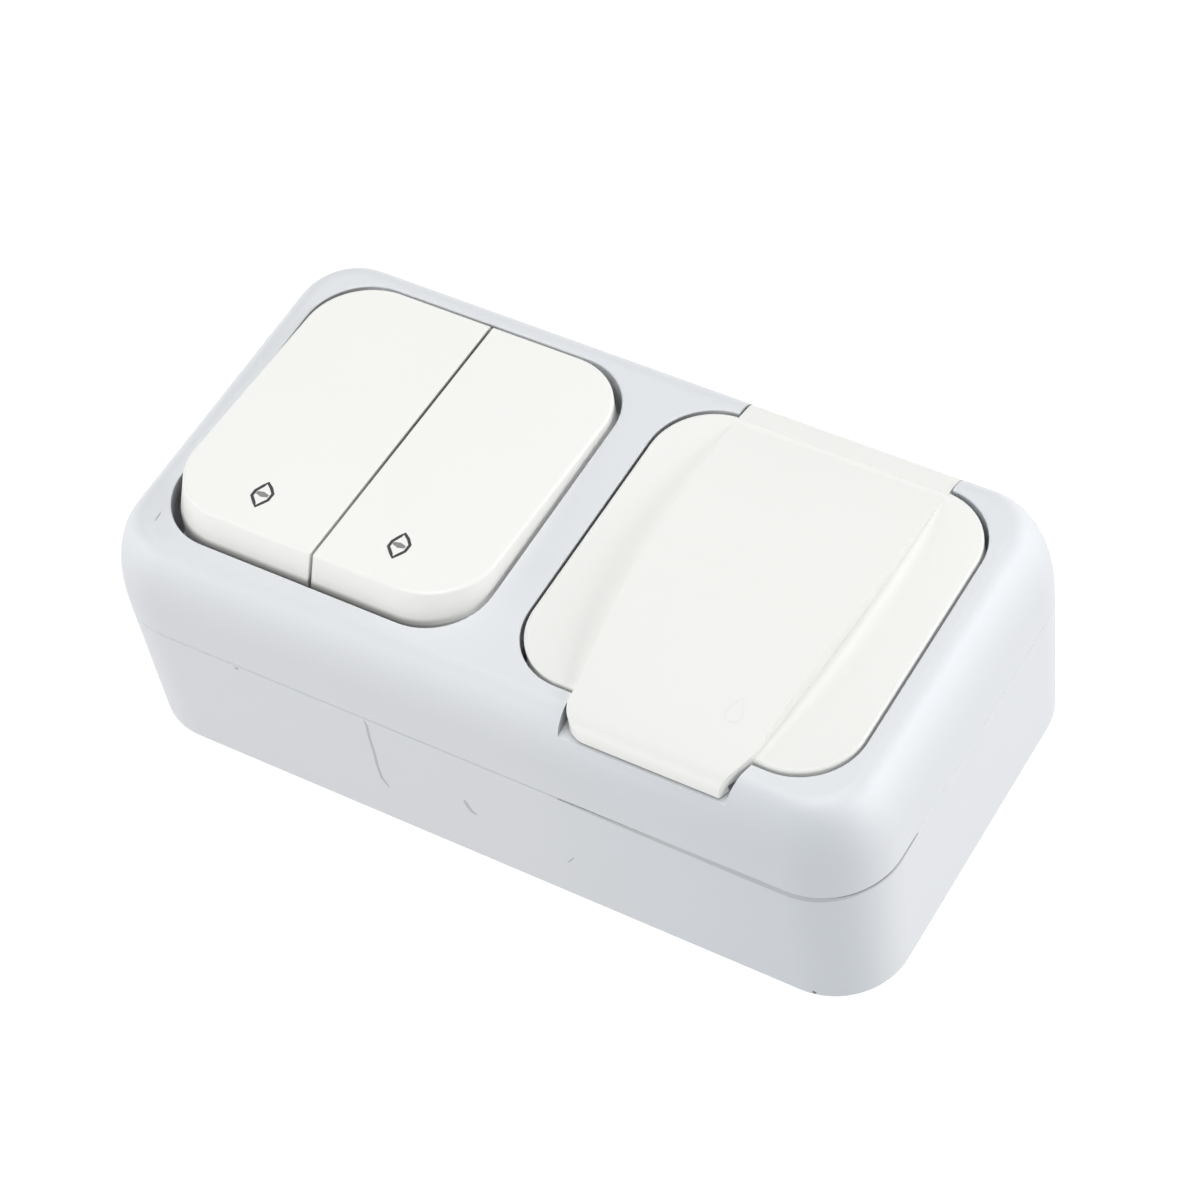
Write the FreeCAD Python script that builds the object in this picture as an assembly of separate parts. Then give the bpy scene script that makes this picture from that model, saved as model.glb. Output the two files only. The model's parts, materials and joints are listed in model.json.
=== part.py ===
import FreeCAD, Part
import math
import os

# Surface-mounted two-gang box: a twin rocker switch on the left, an earthed
# socket outlet under a sprung lid on the right. The box lies on its back.
# +X runs along the long side, +Y up the wall, +Z out of the wall.
# The origin is the centre of the back face. All sizes are millimetres.

Vector = FreeCAD.Vector
X_AXIS = Vector(1, 0, 0)
Y_AXIS = Vector(0, 1, 0)
Z_AXIS = Vector(0, 0, 1)

# Box and cover
COVER_TOP = 46.3
PARTING = 28.9
CORNER = 13.2
BASE_DRAFT = 0.6
BACK_EDGE = 0.8
RIM_X = 8.1
RIM_Y = 8.0
SHOULDER_RUN = 6.8
SHOULDER_DROP = 15.2
WALL = 2.2
SKIN = 2.2
FLOOR = 2.4
PARTING_BEVEL = 0.3

# Openings of the two gangs
GANG_BAR = 6.8
GANG_RISE = 0.55
OPENING_X = 59.5
OPENING_Y = 60.0
OPENING_CORNER = 11.0
OPENING_EDGE = 0.3
COLLAR_WALL = 1.7
FLANGE_THICK = 2.0
WINDOW_LEDGE = 5.0
WINDOW_CORNER = 5.0
RIM_GAP = 0.8

# Cover screws and their posts
COVER_SCREW_INSET = 5.5
POST_R = 4.0
COVER_SCREW_R = 1.75
COVER_SCREW_HEAD_R = 3.4
COVER_SCREW_HEAD = 1.9
COVER_SCREW_LENGTH = 20.0
SCREW_CLEARANCE = 0.25
THREAD_PLAY = 0.05
SLOT_WIDTH = 0.9
SLOT_DEPTH = 0.8

# Seal between box and cover
SEAL_WIDTH = 1.0
SEAL_DEPTH = 1.2
SEAL_INSET = 0.6

# Cable entries in the upper wall
GROMMET_Z = 15.0
GROMMET_HOLE_R = 9.0
GROMMET_FLANGE_R = 11.2
GROMMET_LIP = 1.5
GROMMET_CONE = 5.0
GROMMET_BORE_R = 4.0
GROMMET_NECK_R = 5.6
GROMMET_FIT = 0.05
GROMMET_PAD_R = 12.2
GROMMET_EDGE = 0.5
GROMMET_STEP = 1.5

# Fixing holes in the back
WALL_HOLE_X = 88.0
WALL_HOLE_Y = 59.0
WALL_HOLE_R = 2.25
WALL_RIM_R = 4.4
WALL_RIM_RISE = 1.2

# Keys
KEY_PROUD = 2.4
KEY_DEPTH = 8.9
KEY_UNDER_GAP = 1.6
KEY_TILT = 3.67
KEY_CORNER = 11.4
KEY_NEAR = 29.25
KEY_FAR = 29.1
KEY_SPLIT = 1.4
SPLIT_GAP = 0.6
SPLIT_LEAN = 0.8
SPLIT_EDGE = 0.15
KEY_SKIN = 2.0
KEY_WALL = 1.6
KEY_EDGE = 0.6
KEY_SIDE_RUN = 0.15
BEVEL_RUN = 2.0
BEVEL_DROP = 5.4
PIVOT_DROP = 5.0
CLIP_THICK = 1.2
CLIP_DEPTH = 2.8
CLIP_LENGTH = 7.0

# Switch mechanism
BLOCK_GAP = 3.5
BLOCK_CORNER = 2.0
SWITCH_SEAT = 9.0
SWITCH_HEIGHT = 21.0
YOKE_THICK = 2.0
ACTUATOR_HALF = 6.5
ACTUATOR_HUB_R = 3.0
ACTUATOR_PLATE = 2.0
ACTUATOR_PLATE_LENGTH = 18.0
TUBE_GAP = 1.5
AXLE_R = 1.5
AXLE_FIT = 0.05
EAR_THICK = 1.6
EAR_HALF = 3.2
SIDE_PLAY = 0.3
TUBE_R = 2.8
TUBE_BORE_R = 1.75
PLUNGER_R = 1.6
PLUNGER_LENGTH = 9.3
PLUNGER_GAP = 0.3
BORE_RISE = 0.7
TUBE_PLAY_X = 0.6
TUBE_PLAY_Y = 1.3
CAVITY_X = 14.0
CAVITY_SIDE = 1.5
CAVITY_END = 2.0
CAVITY_SKIN = 5.0
BRIDGE_DEPTH = 4.0
BRIDGE_THICK = 0.8
BRIDGE_WIDTH = 5.0
BRIDGE_REACH = 9.5
BRIDGE_TILT = 8.0
CONTACT_R = 1.6
CONTACT_THICK = 0.8
CONTACT_GAP = 0.3
TERMINAL_X = 7.0
TERMINAL_Y = 6.4
TERMINAL_TIP_GAP = 2.4
TERMINAL_SCREW_R = 1.5
TERMINAL_HEAD_R = 2.0
TERMINAL_HEAD = 1.4
TERMINAL_SCREW_LENGTH = 6.0
WIRE_HOLE_R = 1.6
STRIP_THICK = 0.8
FIXING_REACH = 3.5
FIXING_TAB = 10.0
FIXING_TAB_THICK = 3.0
FIXING_SCREW_R = 1.6
FIXING_HEAD_R = 3.0
FIXING_HEAD = 2.2
FIXING_LENGTH = 9.0
FIXING_TIP_GAP = 1.5

# Socket outlet
INSERT_DROP = 4.6
INSERT_THICK = 3.0
INSERT_GAP = 0.6
INSERT_EDGE = 0.6
WELL_R = 19.75
WELL_WALL = 1.5
WELL_DEPTH = 17.5
WELL_FLOOR = 2.0
WELL_MOUTH = 0.8
GUIDE_WIDTH = 5.0
GUIDE_DEPTH = 1.6
PIN_SPACING = 19.0
PIN_HOLE_R = 2.6
SOCKET_SEAT = 4.2
SOCKET_CORNER = 4.0
SLEEVE_BORE_R = 2.45
SLEEVE_WIDTH = 8.0
SLEEVE_FLOOR = 1.1
SLEEVE_DROP = 2.3
SLEEVE_REACH = 8.6
SLEEVE_SLIT = 0.8
CLAMP_INSET = 2.6
EARTH_WIDTH = 5.0
EARTH_DROP = 3.2
EARTH_SWING = 2.4
EARTH_SLOT_PLAY = 0.5
EARTH_RISE = 15.2
EARTH_MOUTH = 0.6
EARTH_KNEE = 0.45
EARTH_GRIP = 0.75
EARTH_SCREW_Y = 12.0
EARTH_NUT = 6.0
POCKET_PLAY = 0.3
CENTRE_SCREW_R = 1.75
CENTRE_HEAD_R = 3.2
CENTRE_HEAD = 1.2
CENTRE_LENGTH = 10.0

# Lid
LID_RISE = 0.3
LID_THICK = 2.0
LID_GAP = 0.5
LID_CORNER = 10.9
LID_EDGE = 0.6
LID_FAR_GAP = 0.7
LID_FAR_BEVEL = 1.3
CROWN_RISE = 3.4
CROWN_R = 160.0
CROWN_Y = -3.0
BAND_FAR = 18.9
BAND_MID = 17.85
BAND_NEAR = 15.8
BAND_NEAR_LEFT = 15.0
LIP_Y = 35.3
LIP_DROP = 3.1
LIP_THICK = 1.8
LIP_ROUND = 3.0
LIP_CORNER = 4.6
LIP_SLANT = 2.6
NOTCH_GAP = 0.35
NOTCH_UNDER = 0.6
HINGE_Y = 32.4
KNUCKLE_R = 2.3
KNUCKLE_SINK = 0.02
TROUGH_GAP = 0.3
CHEEK_GAP = 0.3
HINGE_PIN_R = 1.0
HINGE_PIN_END = 3.5
HINGE_FIT = 0.05
SPRING_POCKET = 14.0
SPRING_WIRE = 0.45
SPRING_R = 1.35
SPRING_TURNS = 8
SPRING_LEG = 5.0
SPRING_PITCH_PLAY = 0.07
PLUNGER_SPRING_R = 1.2
PLUNGER_SPRING_WIRE = 0.4
PLUNGER_SPRING_TURNS = 5
SEAL_RING_INSET = 4.0
SEAL_RING_WIDTH = 2.4
SEAL_RING_CORNER = 9.0
SEAL_RING_GAP = 0.3
LID_POCKET_MARGIN = 1.6

# Fineness of the wound wires
COIL_STEPS = 14
COIL_SIDES = 6

# Worked out from the sizes above
GANG_PITCH = OPENING_X + GANG_BAR
SWITCH_X = -GANG_PITCH / 2
SOCKET_X = GANG_PITCH / 2
LENGTH = GANG_PITCH + OPENING_X + 2 * RIM_X
WIDTH = OPENING_Y + 2 * RIM_Y
WINDOW = OPENING_X - 2 * WINDOW_LEDGE
COVER_SCREW_Y = OPENING_X - 2 * COVER_SCREW_INSET
COVER_SCREW_X = GANG_PITCH + COVER_SCREW_Y
BLOCK = COVER_SCREW_Y - 2 * BLOCK_GAP
FIXING_Y = BLOCK + 2 * FIXING_REACH
CAVITY_Y = BLOCK - 2 * CAVITY_END
ACTUATOR_PITCH = BLOCK - CAVITY_X - 2 * CAVITY_SIDE
KEY_TOP = COVER_TOP + KEY_PROUD
KEY_FOOT = KEY_TOP - KEY_DEPTH
PIVOT_Z = COVER_TOP - PIVOT_DROP
BORE_TOP = PIVOT_Z + BORE_RISE
SWITCH_TOP = SWITCH_SEAT + SWITCH_HEIGHT
CAVITY_FLOOR = SWITCH_SEAT + CAVITY_SKIN
BRIDGE_Z = SWITCH_TOP - BRIDGE_DEPTH
ACTUATOR_FOOT = SWITCH_TOP + TUBE_GAP
SHOULDER_Z = COVER_TOP - SHOULDER_DROP
OPENING_FAR = GANG_RISE + OPENING_Y / 2
OPENING_NEAR = GANG_RISE - OPENING_Y / 2
KEY_SWING = KEY_NEAR * math.sin(math.radians(KEY_TILT))
SWITCH_FLANGE_Z = KEY_FOOT - KEY_SWING - KEY_UNDER_GAP
INSERT_TOP = COVER_TOP - INSERT_DROP
SOCKET_FLANGE_Z = INSERT_TOP - INSERT_THICK
WELL_BOTTOM = INSERT_TOP - WELL_DEPTH
SOCKET_TOP = WELL_BOTTOM - WELL_FLOOR
SLEEVE_LOW = SOCKET_SEAT + SLEEVE_FLOOR
SLEEVE_TOP = SOCKET_TOP - SLEEVE_DROP
SLEEVE_LENGTH = SLEEVE_TOP - SLEEVE_LOW
LID_TOP = COVER_TOP + LID_RISE
LID_BOTTOM = LID_TOP - LID_THICK
CROWN_CENTRE_Z = COVER_TOP + CROWN_RISE - CROWN_R
HINGE_REACH = CROWN_R - KNUCKLE_R - KNUCKLE_SINK
HINGE_Z = CROWN_CENTRE_Z + math.sqrt(HINGE_REACH ** 2 - (HINGE_Y - CROWN_Y) ** 2)
CROWN_FAR = CROWN_Y + (HINGE_Y - CROWN_Y) * CROWN_R / HINGE_REACH
NOTCH_Z = COVER_TOP - LIP_DROP - NOTCH_UNDER
BACK_SIDE = WIDTH / 2
SEAL_RING = OPENING_X - 2 * SEAL_RING_INSET
LID_POCKET = SEAL_RING - 2 * SEAL_RING_WIDTH - 2 * LID_POCKET_MARGIN


def block(x_span, y_span, z_span):
    size = [span[1] - span[0] for span in (x_span, y_span, z_span)]
    return Part.makeBox(size[0], size[1], size[2], Vector(x_span[0], y_span[0], z_span[0]))


def centred(x, y, size_x, size_y, z_span):
    return block((x - size_x / 2, x + size_x / 2), (y - size_y / 2, y + size_y / 2), z_span)


def rod(radius, start, length, axis=Z_AXIS):
    return Part.makeCylinder(radius, length, start, axis)


def joined(shapes):
    return shapes[0].multiFuse(shapes[1:]).removeSplitter()


def compound(shapes):
    return Part.makeCompound(shapes)


def rounded_plate(x, y, size_x, size_y, corner, z_span):
    """Upright prism with four round corners."""
    plate = centred(x, y, size_x, size_y, z_span)
    upright = [edge for edge in plate.Edges if abs(edge.tangentAt(0).z) > 0.9]
    return plate.makeFillet(corner, upright)


def polygon_prism(points, x_span):
    """Prism along X from a closed outline of (y, z) points."""
    corners = [Vector(x_span[0], y, z) for y, z in points]
    face = Part.Face(Part.makePolygon(corners + corners[:1]))
    return face.extrude(X_AXIS * (x_span[1] - x_span[0]))


def flank(half, side, spot, wall, shoulder):
    """Edges of one side of a section: a straight wall, then a quarter of an ellipse."""
    foot_inset, foot_z, bend_z = wall
    run, drop = shoulder
    foot = spot(side * (half - foot_inset), foot_z)
    bend = spot(side * half, bend_z)
    edges = [Part.LineSegment(foot, bend).toShape()]
    if run:
        centre = spot(side * (half - run), bend_z)
        crown = spot(side * (half - run), bend_z + drop)
        edges.append(Part.Ellipse(crown, bend, centre).toShape(0, math.pi / 2))
    return edges


def section_face(half, spot, wall, shoulder, both_sides):
    """Closed section, whole, or only from its axis outwards."""
    foot_inset, foot_z, bend_z = wall
    run, drop = shoulder
    edges = flank(half, 1, spot, wall, shoulder)
    if both_sides:
        edges += flank(half, -1, spot, wall, shoulder)
        low = spot(-(half - foot_inset), foot_z)
        high = spot(-(half - run), bend_z + drop)
    else:
        low = spot(0, foot_z)
        high = spot(0, bend_z + drop)
        edges.append(Part.LineSegment(low, high).toShape())
    edges.append(Part.LineSegment(low, spot(half - foot_inset, foot_z)).toShape())
    edges.append(Part.LineSegment(high, spot(half - run, bend_z + drop)).toShape())
    return Part.Face(Part.Wire(Part.sortEdges(edges)[0]))


def moulding(length, width, corner, wall, shoulder=(0, 0)):
    """Solid with a rounded plan, a drafted wall and an elliptical shoulder all round."""
    reach_x = length / 2 - corner
    reach_y = width / 2 - corner
    along_x = section_face(width / 2, lambda u, z: Vector(-reach_x, u, z), wall, shoulder, True)
    along_y = section_face(length / 2, lambda u, z: Vector(u, -reach_y, z), wall, shoulder, True)
    pieces = [along_x.extrude(X_AXIS * 2 * reach_x), along_y.extrude(Y_AXIS * 2 * reach_y)]
    for side_x in (-1, 1):
        for side_y in (-1, 1):
            at = Vector(side_x * reach_x, side_y * reach_y, 0)
            quarter = section_face(corner, lambda u, z: at + Vector(u, 0, z), wall, shoulder, False)
            pieces.append(quarter.revolve(at, Z_AXIS, 360))
    return joined(pieces)


def level_edges(shape, z):
    """Edges that lie wholly at one height."""
    found = []
    for edge in shape.Edges:
        span = edge.BoundBox
        if abs(span.ZMax - z) < 0.01 and abs(span.ZMin - z) < 0.01:
            found.append(edge)
    return found


def corner_places(size_x, size_y, centre_y=0.0):
    """The four corners of a rectangle about the middle of the box."""
    return [(sx * size_x / 2, centre_y + sy * size_y / 2) for sx in (-1, 1) for sy in (-1, 1)]


def slotted_screw(radius, length, head_r, head, top, x, y, countersunk=False):
    """Screw along Z with a slotted head whose upper face is at top."""
    if countersunk:
        cap = Part.makeCone(radius, head_r, head, Vector(x, y, top - head), Z_AXIS)
    else:
        cap = rod(head_r, Vector(x, y, top - head), head)
    shank = rod(radius, Vector(x, y, top - head - length), length)
    slot = centred(x, y, 2 * head_r + 1, SLOT_WIDTH, (top - SLOT_DEPTH, top + 1))
    return joined([cap, shank]).cut(slot)


def coil(radius, wire, pitch, turns, axis_place, leg=0.0):
    """Helical wire of flat facets, wound about the local Z axis, with a straight leg at its start."""
    rings = []
    for step in range(turns * COIL_STEPS + 1):
        turn = 2 * math.pi * step / COIL_STEPS
        height = pitch * step / COIL_STEPS
        ring = []
        for side in range(COIL_SIDES):
            around = 2 * math.pi * side / COIL_SIDES
            out = radius + wire / 2 * math.cos(around)
            up = height + wire / 2 * math.sin(around)
            ring.append(Vector(out * math.cos(turn), out * math.sin(turn), up))
        rings.append(ring)
    if leg:
        rings.insert(0, [spot - Y_AXIS * leg for spot in rings[0]])
    faces = [Part.Face(Part.makePolygon(ring + ring[:1])) for ring in (rings[0], rings[-1])]
    for low, high in zip(rings, rings[1:]):
        for side in range(COIL_SIDES):
            after = (side + 1) % COIL_SIDES
            for corners in ((low[side], low[after], high[after]), (low[side], high[after], high[side])):
                faces.append(Part.Face(Part.makePolygon(list(corners) + [corners[0]])))
    spring = Part.Solid(Part.Shell(faces))
    if spring.Volume < 0:
        spring.reverse()
    spring.Placement = axis_place
    return spring


# Box


def seal_path(inset, z_span):
    """Prism that follows the wall at a given distance inside it."""
    size_x = LENGTH - 2 * inset
    size_y = WIDTH - 2 * inset
    return rounded_plate(0, 0, size_x, size_y, CORNER - inset, z_span)


def seal_ring(z_span):
    outer = seal_path(SEAL_INSET, z_span)
    return outer.cut(seal_path(SEAL_INSET + SEAL_WIDTH, z_span))


def base_box():
    body = moulding(LENGTH, WIDTH, CORNER, (BASE_DRAFT, 0, PARTING))
    back_edges = [edge for edge in body.Edges if edge.BoundBox.ZMax < 0.01]
    body = body.makeFillet(BACK_EDGE, back_edges)
    body = body.makeChamfer(PARTING_BEVEL, level_edges(body, PARTING))
    hollow = moulding(LENGTH - 2 * WALL, WIDTH - 2 * WALL, CORNER - WALL, (BASE_DRAFT, FLOOR, PARTING + 1))
    body = body.cut(hollow)
    added = []
    for x, y in corner_places(COVER_SCREW_X, COVER_SCREW_Y, GANG_RISE):
        added.append(rod(POST_R, Vector(x, y, FLOOR - 1), PARTING - FLOOR))
    for x, y in corner_places(WALL_HOLE_X, WALL_HOLE_Y):
        added.append(rod(WALL_RIM_R, Vector(x, y, FLOOR - 1), WALL_RIM_RISE + 1))
    for x, seat in ((SWITCH_X, SWITCH_SEAT), (SOCKET_X, SOCKET_SEAT)):
        for side in (-1, 1):
            place = Vector(x, GANG_RISE + side * FIXING_Y / 2, FLOOR - 1)
            added.append(rod(POST_R, place, seat - FLOOR + 1))
    for x in (SWITCH_X, SOCKET_X):
        pad_start = BACK_SIDE - WALL - BASE_DRAFT
        added.append(rod(GROMMET_PAD_R, Vector(x, pad_start, GROMMET_Z), BACK_SIDE - pad_start, Y_AXIS))
    body = joined([body] + added)
    cuts = [seal_ring((PARTING - SEAL_DEPTH, PARTING + 1))]
    for x, y in corner_places(COVER_SCREW_X, COVER_SCREW_Y, GANG_RISE):
        depth = COVER_SCREW_LENGTH
        cuts.append(rod(COVER_SCREW_R + THREAD_PLAY, Vector(x, y, PARTING - depth), depth))
    for x, y in corner_places(WALL_HOLE_X, WALL_HOLE_Y):
        cuts.append(rod(WALL_HOLE_R, Vector(x, y, -1), FLOOR + WALL_RIM_RISE + 2))
    for x, seat in ((SWITCH_X, SWITCH_SEAT), (SOCKET_X, SOCKET_SEAT)):
        for side in (-1, 1):
            place = Vector(x, GANG_RISE + side * FIXING_Y / 2, 1)
            cuts.append(rod(FIXING_SCREW_R + THREAD_PLAY, place, seat))
    for x in (SWITCH_X, SOCKET_X):
        cuts.append(rod(GROMMET_HOLE_R, Vector(x, BACK_SIDE - 2 * WALL - 1, GROMMET_Z), 3 * WALL, Y_AXIS))
    return body.cut(compound(cuts))


def cover_gasket():
    return seal_ring((PARTING - SEAL_DEPTH, PARTING))


def cable_grommet(x):
    """Rubber ring that snaps into the wall, with a cone that grips the cable."""
    inner_face = BACK_SIDE - WALL - BASE_DRAFT
    neck_r = GROMMET_HOLE_R - GROMMET_FIT
    outline = [
        (GROMMET_BORE_R, inner_face - GROMMET_LIP),
        (GROMMET_FLANGE_R, inner_face - GROMMET_LIP),
        (GROMMET_FLANGE_R, inner_face),
        (neck_r, inner_face),
        (neck_r, BACK_SIDE),
        (GROMMET_FLANGE_R, BACK_SIDE),
        (GROMMET_FLANGE_R - GROMMET_EDGE, BACK_SIDE + GROMMET_LIP),
        (GROMMET_HOLE_R - GROMMET_STEP, BACK_SIDE + GROMMET_LIP),
        (GROMMET_NECK_R, BACK_SIDE + GROMMET_CONE),
        (GROMMET_BORE_R, BACK_SIDE + GROMMET_CONE),
    ]
    corners = [Vector(x + r, y, GROMMET_Z) for r, y in outline]
    face = Part.Face(Part.makePolygon(corners + corners[:1]))
    return face.revolve(Vector(x, 0, GROMMET_Z), Y_AXIS, 360)


# Cover


def band_outline(grow, near_y):
    """Plan of the raised band of the lid as a wire at z zero: curved tapering sides."""
    def side_points(side):
        far = Vector(SOCKET_X + side * (BAND_FAR + grow), CROWN_FAR, 0)
        middle = Vector(SOCKET_X + side * (BAND_MID + grow), GANG_RISE, 0)
        near_half = BAND_NEAR if side > 0 else BAND_NEAR_LEFT
        near = Vector(SOCKET_X + side * (near_half + grow), OPENING_NEAR + LID_GAP, 0)
        return far, middle, near

    left_far, left_mid, left_near = side_points(-1)
    right_far, right_mid, right_near = side_points(1)
    left_turn = Vector(left_near.x + grow / 2, near_y + LIP_CORNER, 0)
    left_end = Vector(left_near.x + LIP_CORNER + grow / 2, near_y, 0)
    lean = LIP_CORNER * (1 - math.sqrt(0.5))
    left_knee = Vector(left_turn.x + lean, near_y + lean, 0)
    right_end = Vector(right_near.x - LIP_SLANT, near_y, 0)
    edges = [
        Part.Arc(left_far, left_mid, left_near).toShape(),
        Part.LineSegment(left_near, left_turn).toShape(),
        Part.Arc(left_turn, left_knee, left_end).toShape(),
        Part.LineSegment(left_end, right_end).toShape(),
        Part.LineSegment(right_end, right_near).toShape(),
        Part.Arc(right_near, right_mid, right_far).toShape(),
        Part.LineSegment(right_far, left_far).toShape(),
    ]
    return Part.Wire(edges)


def band_prism(grow, near_y, z_span):
    wire = band_outline(grow, near_y)
    wire.translate(Vector(0, 0, z_span[0]))
    return Part.Face(wire).extrude(Z_AXIS * (z_span[1] - z_span[0]))


def opening_prism(x, z_span, grow=0.0):
    size_x = OPENING_X + 2 * grow
    size_y = OPENING_Y + 2 * grow
    return rounded_plate(x, GANG_RISE, size_x, size_y, OPENING_CORNER + grow, z_span)


def top_rim(shape, x):
    """Edges where an opening of the cover meets its flat top."""
    found = []
    for edge in level_edges(shape, COVER_TOP):
        inside = abs(edge.CenterOfMass.x - x) < OPENING_X / 2 + 1
        inside = inside and abs(edge.CenterOfMass.y - GANG_RISE) < OPENING_Y / 2 + 0.1
        if inside:
            found.append(edge)
    return found


def front_cover():
    outer = moulding(LENGTH, WIDTH, CORNER, (0, PARTING, SHOULDER_Z), (SHOULDER_RUN, SHOULDER_DROP))
    inner = moulding(
        LENGTH - 2 * WALL,
        WIDTH - 2 * WALL,
        CORNER - WALL,
        (0, PARTING - 1, SHOULDER_Z),
        (SHOULDER_RUN - WALL, SHOULDER_DROP - SKIN),
    )
    outer = outer.makeChamfer(PARTING_BEVEL, level_edges(outer, PARTING))
    shell = outer.cut(inner)
    added = []
    for x, flange_z in ((SWITCH_X, SWITCH_FLANGE_Z), (SOCKET_X, SOCKET_FLANGE_Z)):
        added.append(opening_prism(x, (flange_z - FLANGE_THICK, COVER_TOP), COLLAR_WALL))
    trough_r = KNUCKLE_R + TROUGH_GAP
    reach = BAND_FAR + CHEEK_GAP + HINGE_PIN_END + WALL
    trough_low = HINGE_Z - trough_r - FLANGE_THICK
    far_span = (OPENING_FAR, WIDTH / 2)
    added.append(block((SOCKET_X - reach, SOCKET_X + reach), far_span, (trough_low, COVER_TOP)))
    lip_half = BAND_NEAR + NOTCH_GAP + WALL
    near_span = (-WIDTH / 2, OPENING_NEAR)
    near_low = NOTCH_Z - FLANGE_THICK
    added.append(block((SOCKET_X - lip_half, SOCKET_X + lip_half), near_span, (near_low, COVER_TOP)))
    added = [piece.common(outer) for piece in added]
    for x, y in corner_places(COVER_SCREW_X, COVER_SCREW_Y, GANG_RISE):
        flange_z = SWITCH_FLANGE_Z if x < 0 else SOCKET_FLANGE_Z
        added.append(rod(POST_R, Vector(x, y, PARTING - 1), flange_z - PARTING + 1 - FLANGE_THICK / 2))
    shell = joined([shell] + added)
    cuts = [opening_prism(SWITCH_X, (SWITCH_FLANGE_Z, COVER_TOP + 1))]
    cuts.append(opening_prism(SOCKET_X, (SOCKET_FLANGE_Z, COVER_TOP + 1)))
    for x, flange_z in ((SWITCH_X, SWITCH_FLANGE_Z), (SOCKET_X, SOCKET_FLANGE_Z)):
        z_span = (flange_z - FLANGE_THICK - 1, flange_z + 1)
        cuts.append(rounded_plate(x, GANG_RISE, WINDOW, WINDOW, WINDOW_CORNER, z_span))
    for x, y in corner_places(COVER_SCREW_X, COVER_SCREW_Y, GANG_RISE):
        flange_z = SWITCH_FLANGE_Z if x < 0 else SOCKET_FLANGE_Z
        hole_r = COVER_SCREW_R + SCREW_CLEARANCE
        cuts.append(rod(hole_r, Vector(x, y, PARTING - 2), flange_z - PARTING + 3))
        seat = Part.makeCone(
            hole_r,
            COVER_SCREW_HEAD_R + SCREW_CLEARANCE,
            COVER_SCREW_HEAD,
            Vector(x, y, flange_z - COVER_SCREW_HEAD),
            Z_AXIS,
        )
        cuts.append(seat)
    shell = shell.cut(compound(cuts))
    near_y = -WIDTH / 2 - 1
    shell = shell.cut(lip_notch(near_y))
    trough_half = BAND_FAR + CHEEK_GAP
    x_span = (SOCKET_X - trough_half, SOCKET_X + trough_half)
    shell = shell.cut(rod(trough_r, Vector(x_span[0], HINGE_Y, HINGE_Z), 2 * trough_half, X_AXIS))
    shell = shell.cut(block(x_span, (OPENING_FAR - 1, WIDTH / 2 + 1), (HINGE_Z, COVER_TOP + 1)))
    shell = shell.cut(block(x_span, (OPENING_FAR - 1, HINGE_Y), (HINGE_Z - trough_r, COVER_TOP + 1)))
    pin_half = trough_half + HINGE_PIN_END
    pin_hole = rod(HINGE_PIN_R + HINGE_FIT, Vector(SOCKET_X - pin_half, HINGE_Y, HINGE_Z), 2 * pin_half, X_AXIS)
    shell = shell.cut(pin_hole)
    rims = top_rim(shell, SWITCH_X) + top_rim(shell, SOCKET_X)
    return shell.makeFillet(OPENING_EDGE, rims)


def lip_notch(near_y):
    """Cut through the near shoulder that takes the lip of the lid."""
    z_span = (NOTCH_Z, COVER_TOP + 1)
    side = block((0, LENGTH / 2), (-WIDTH, OPENING_NEAR + 1), z_span)
    return band_prism(NOTCH_GAP, near_y, z_span).common(side)


def cover_screws():
    screws = []
    for x, y in corner_places(COVER_SCREW_X, COVER_SCREW_Y, GANG_RISE):
        flange_z = SWITCH_FLANGE_Z if x < 0 else SOCKET_FLANGE_Z
        screws.append(
            slotted_screw(
                COVER_SCREW_R,
                COVER_SCREW_LENGTH,
                COVER_SCREW_HEAD_R,
                COVER_SCREW_HEAD,
                flange_z,
                x,
                y,
                countersunk=True,
            )
        )
    return compound(screws)


# Keys


def rounded_wire(x_span, y_span, corner, z):
    """Closed outline with four round corners."""
    low_x, high_x = x_span
    low_y, high_y = y_span
    places = [(high_x, high_y, 0), (low_x, high_y, 90), (low_x, low_y, 180), (high_x, low_y, 270)]
    ends = []
    arcs = []
    for x, y, start in places:
        centre_x = x - corner if x == high_x else x + corner
        centre_y = y - corner if y == high_y else y + corner
        spots = []
        for angle in (start, start + 45, start + 90):
            turn = math.radians(angle)
            spots.append(Vector(centre_x + corner * math.cos(turn), centre_y + corner * math.sin(turn), z))
        arcs.append(Part.Arc(*spots).toShape())
        ends.append((spots[0], spots[2]))
    edges = []
    for index in range(4):
        edges.append(arcs[index])
        edges.append(Part.LineSegment(ends[index][1], ends[(index + 1) % 4][0]).toShape())
    return Part.Wire(edges)


def twin_key(shrink, skin):
    """Both keys as one level solid: upright below, with the near side leaning back above."""
    half = OPENING_X / 2 - RIM_GAP - shrink
    x_span = (SWITCH_X - half, SWITCH_X + half)
    y_span = (GANG_RISE - KEY_NEAR + shrink, GANG_RISE + KEY_FAR - shrink)
    foot = KEY_FOOT - (1 if shrink else 0)
    corner = KEY_CORNER - shrink
    bend = KEY_TOP - BEVEL_DROP
    top_x = (x_span[0] + KEY_SIDE_RUN, x_span[1] - KEY_SIDE_RUN)
    top_y = (y_span[0] + BEVEL_RUN, y_span[1] - KEY_SIDE_RUN)
    low = Part.Face(rounded_wire(x_span, y_span, corner, foot)).extrude(Z_AXIS * (bend - foot))
    sides = [rounded_wire(x_span, y_span, corner, bend), rounded_wire(top_x, top_y, corner, KEY_TOP - skin)]
    return joined([low, Part.makeLoft(sides, True, True)])


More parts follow.
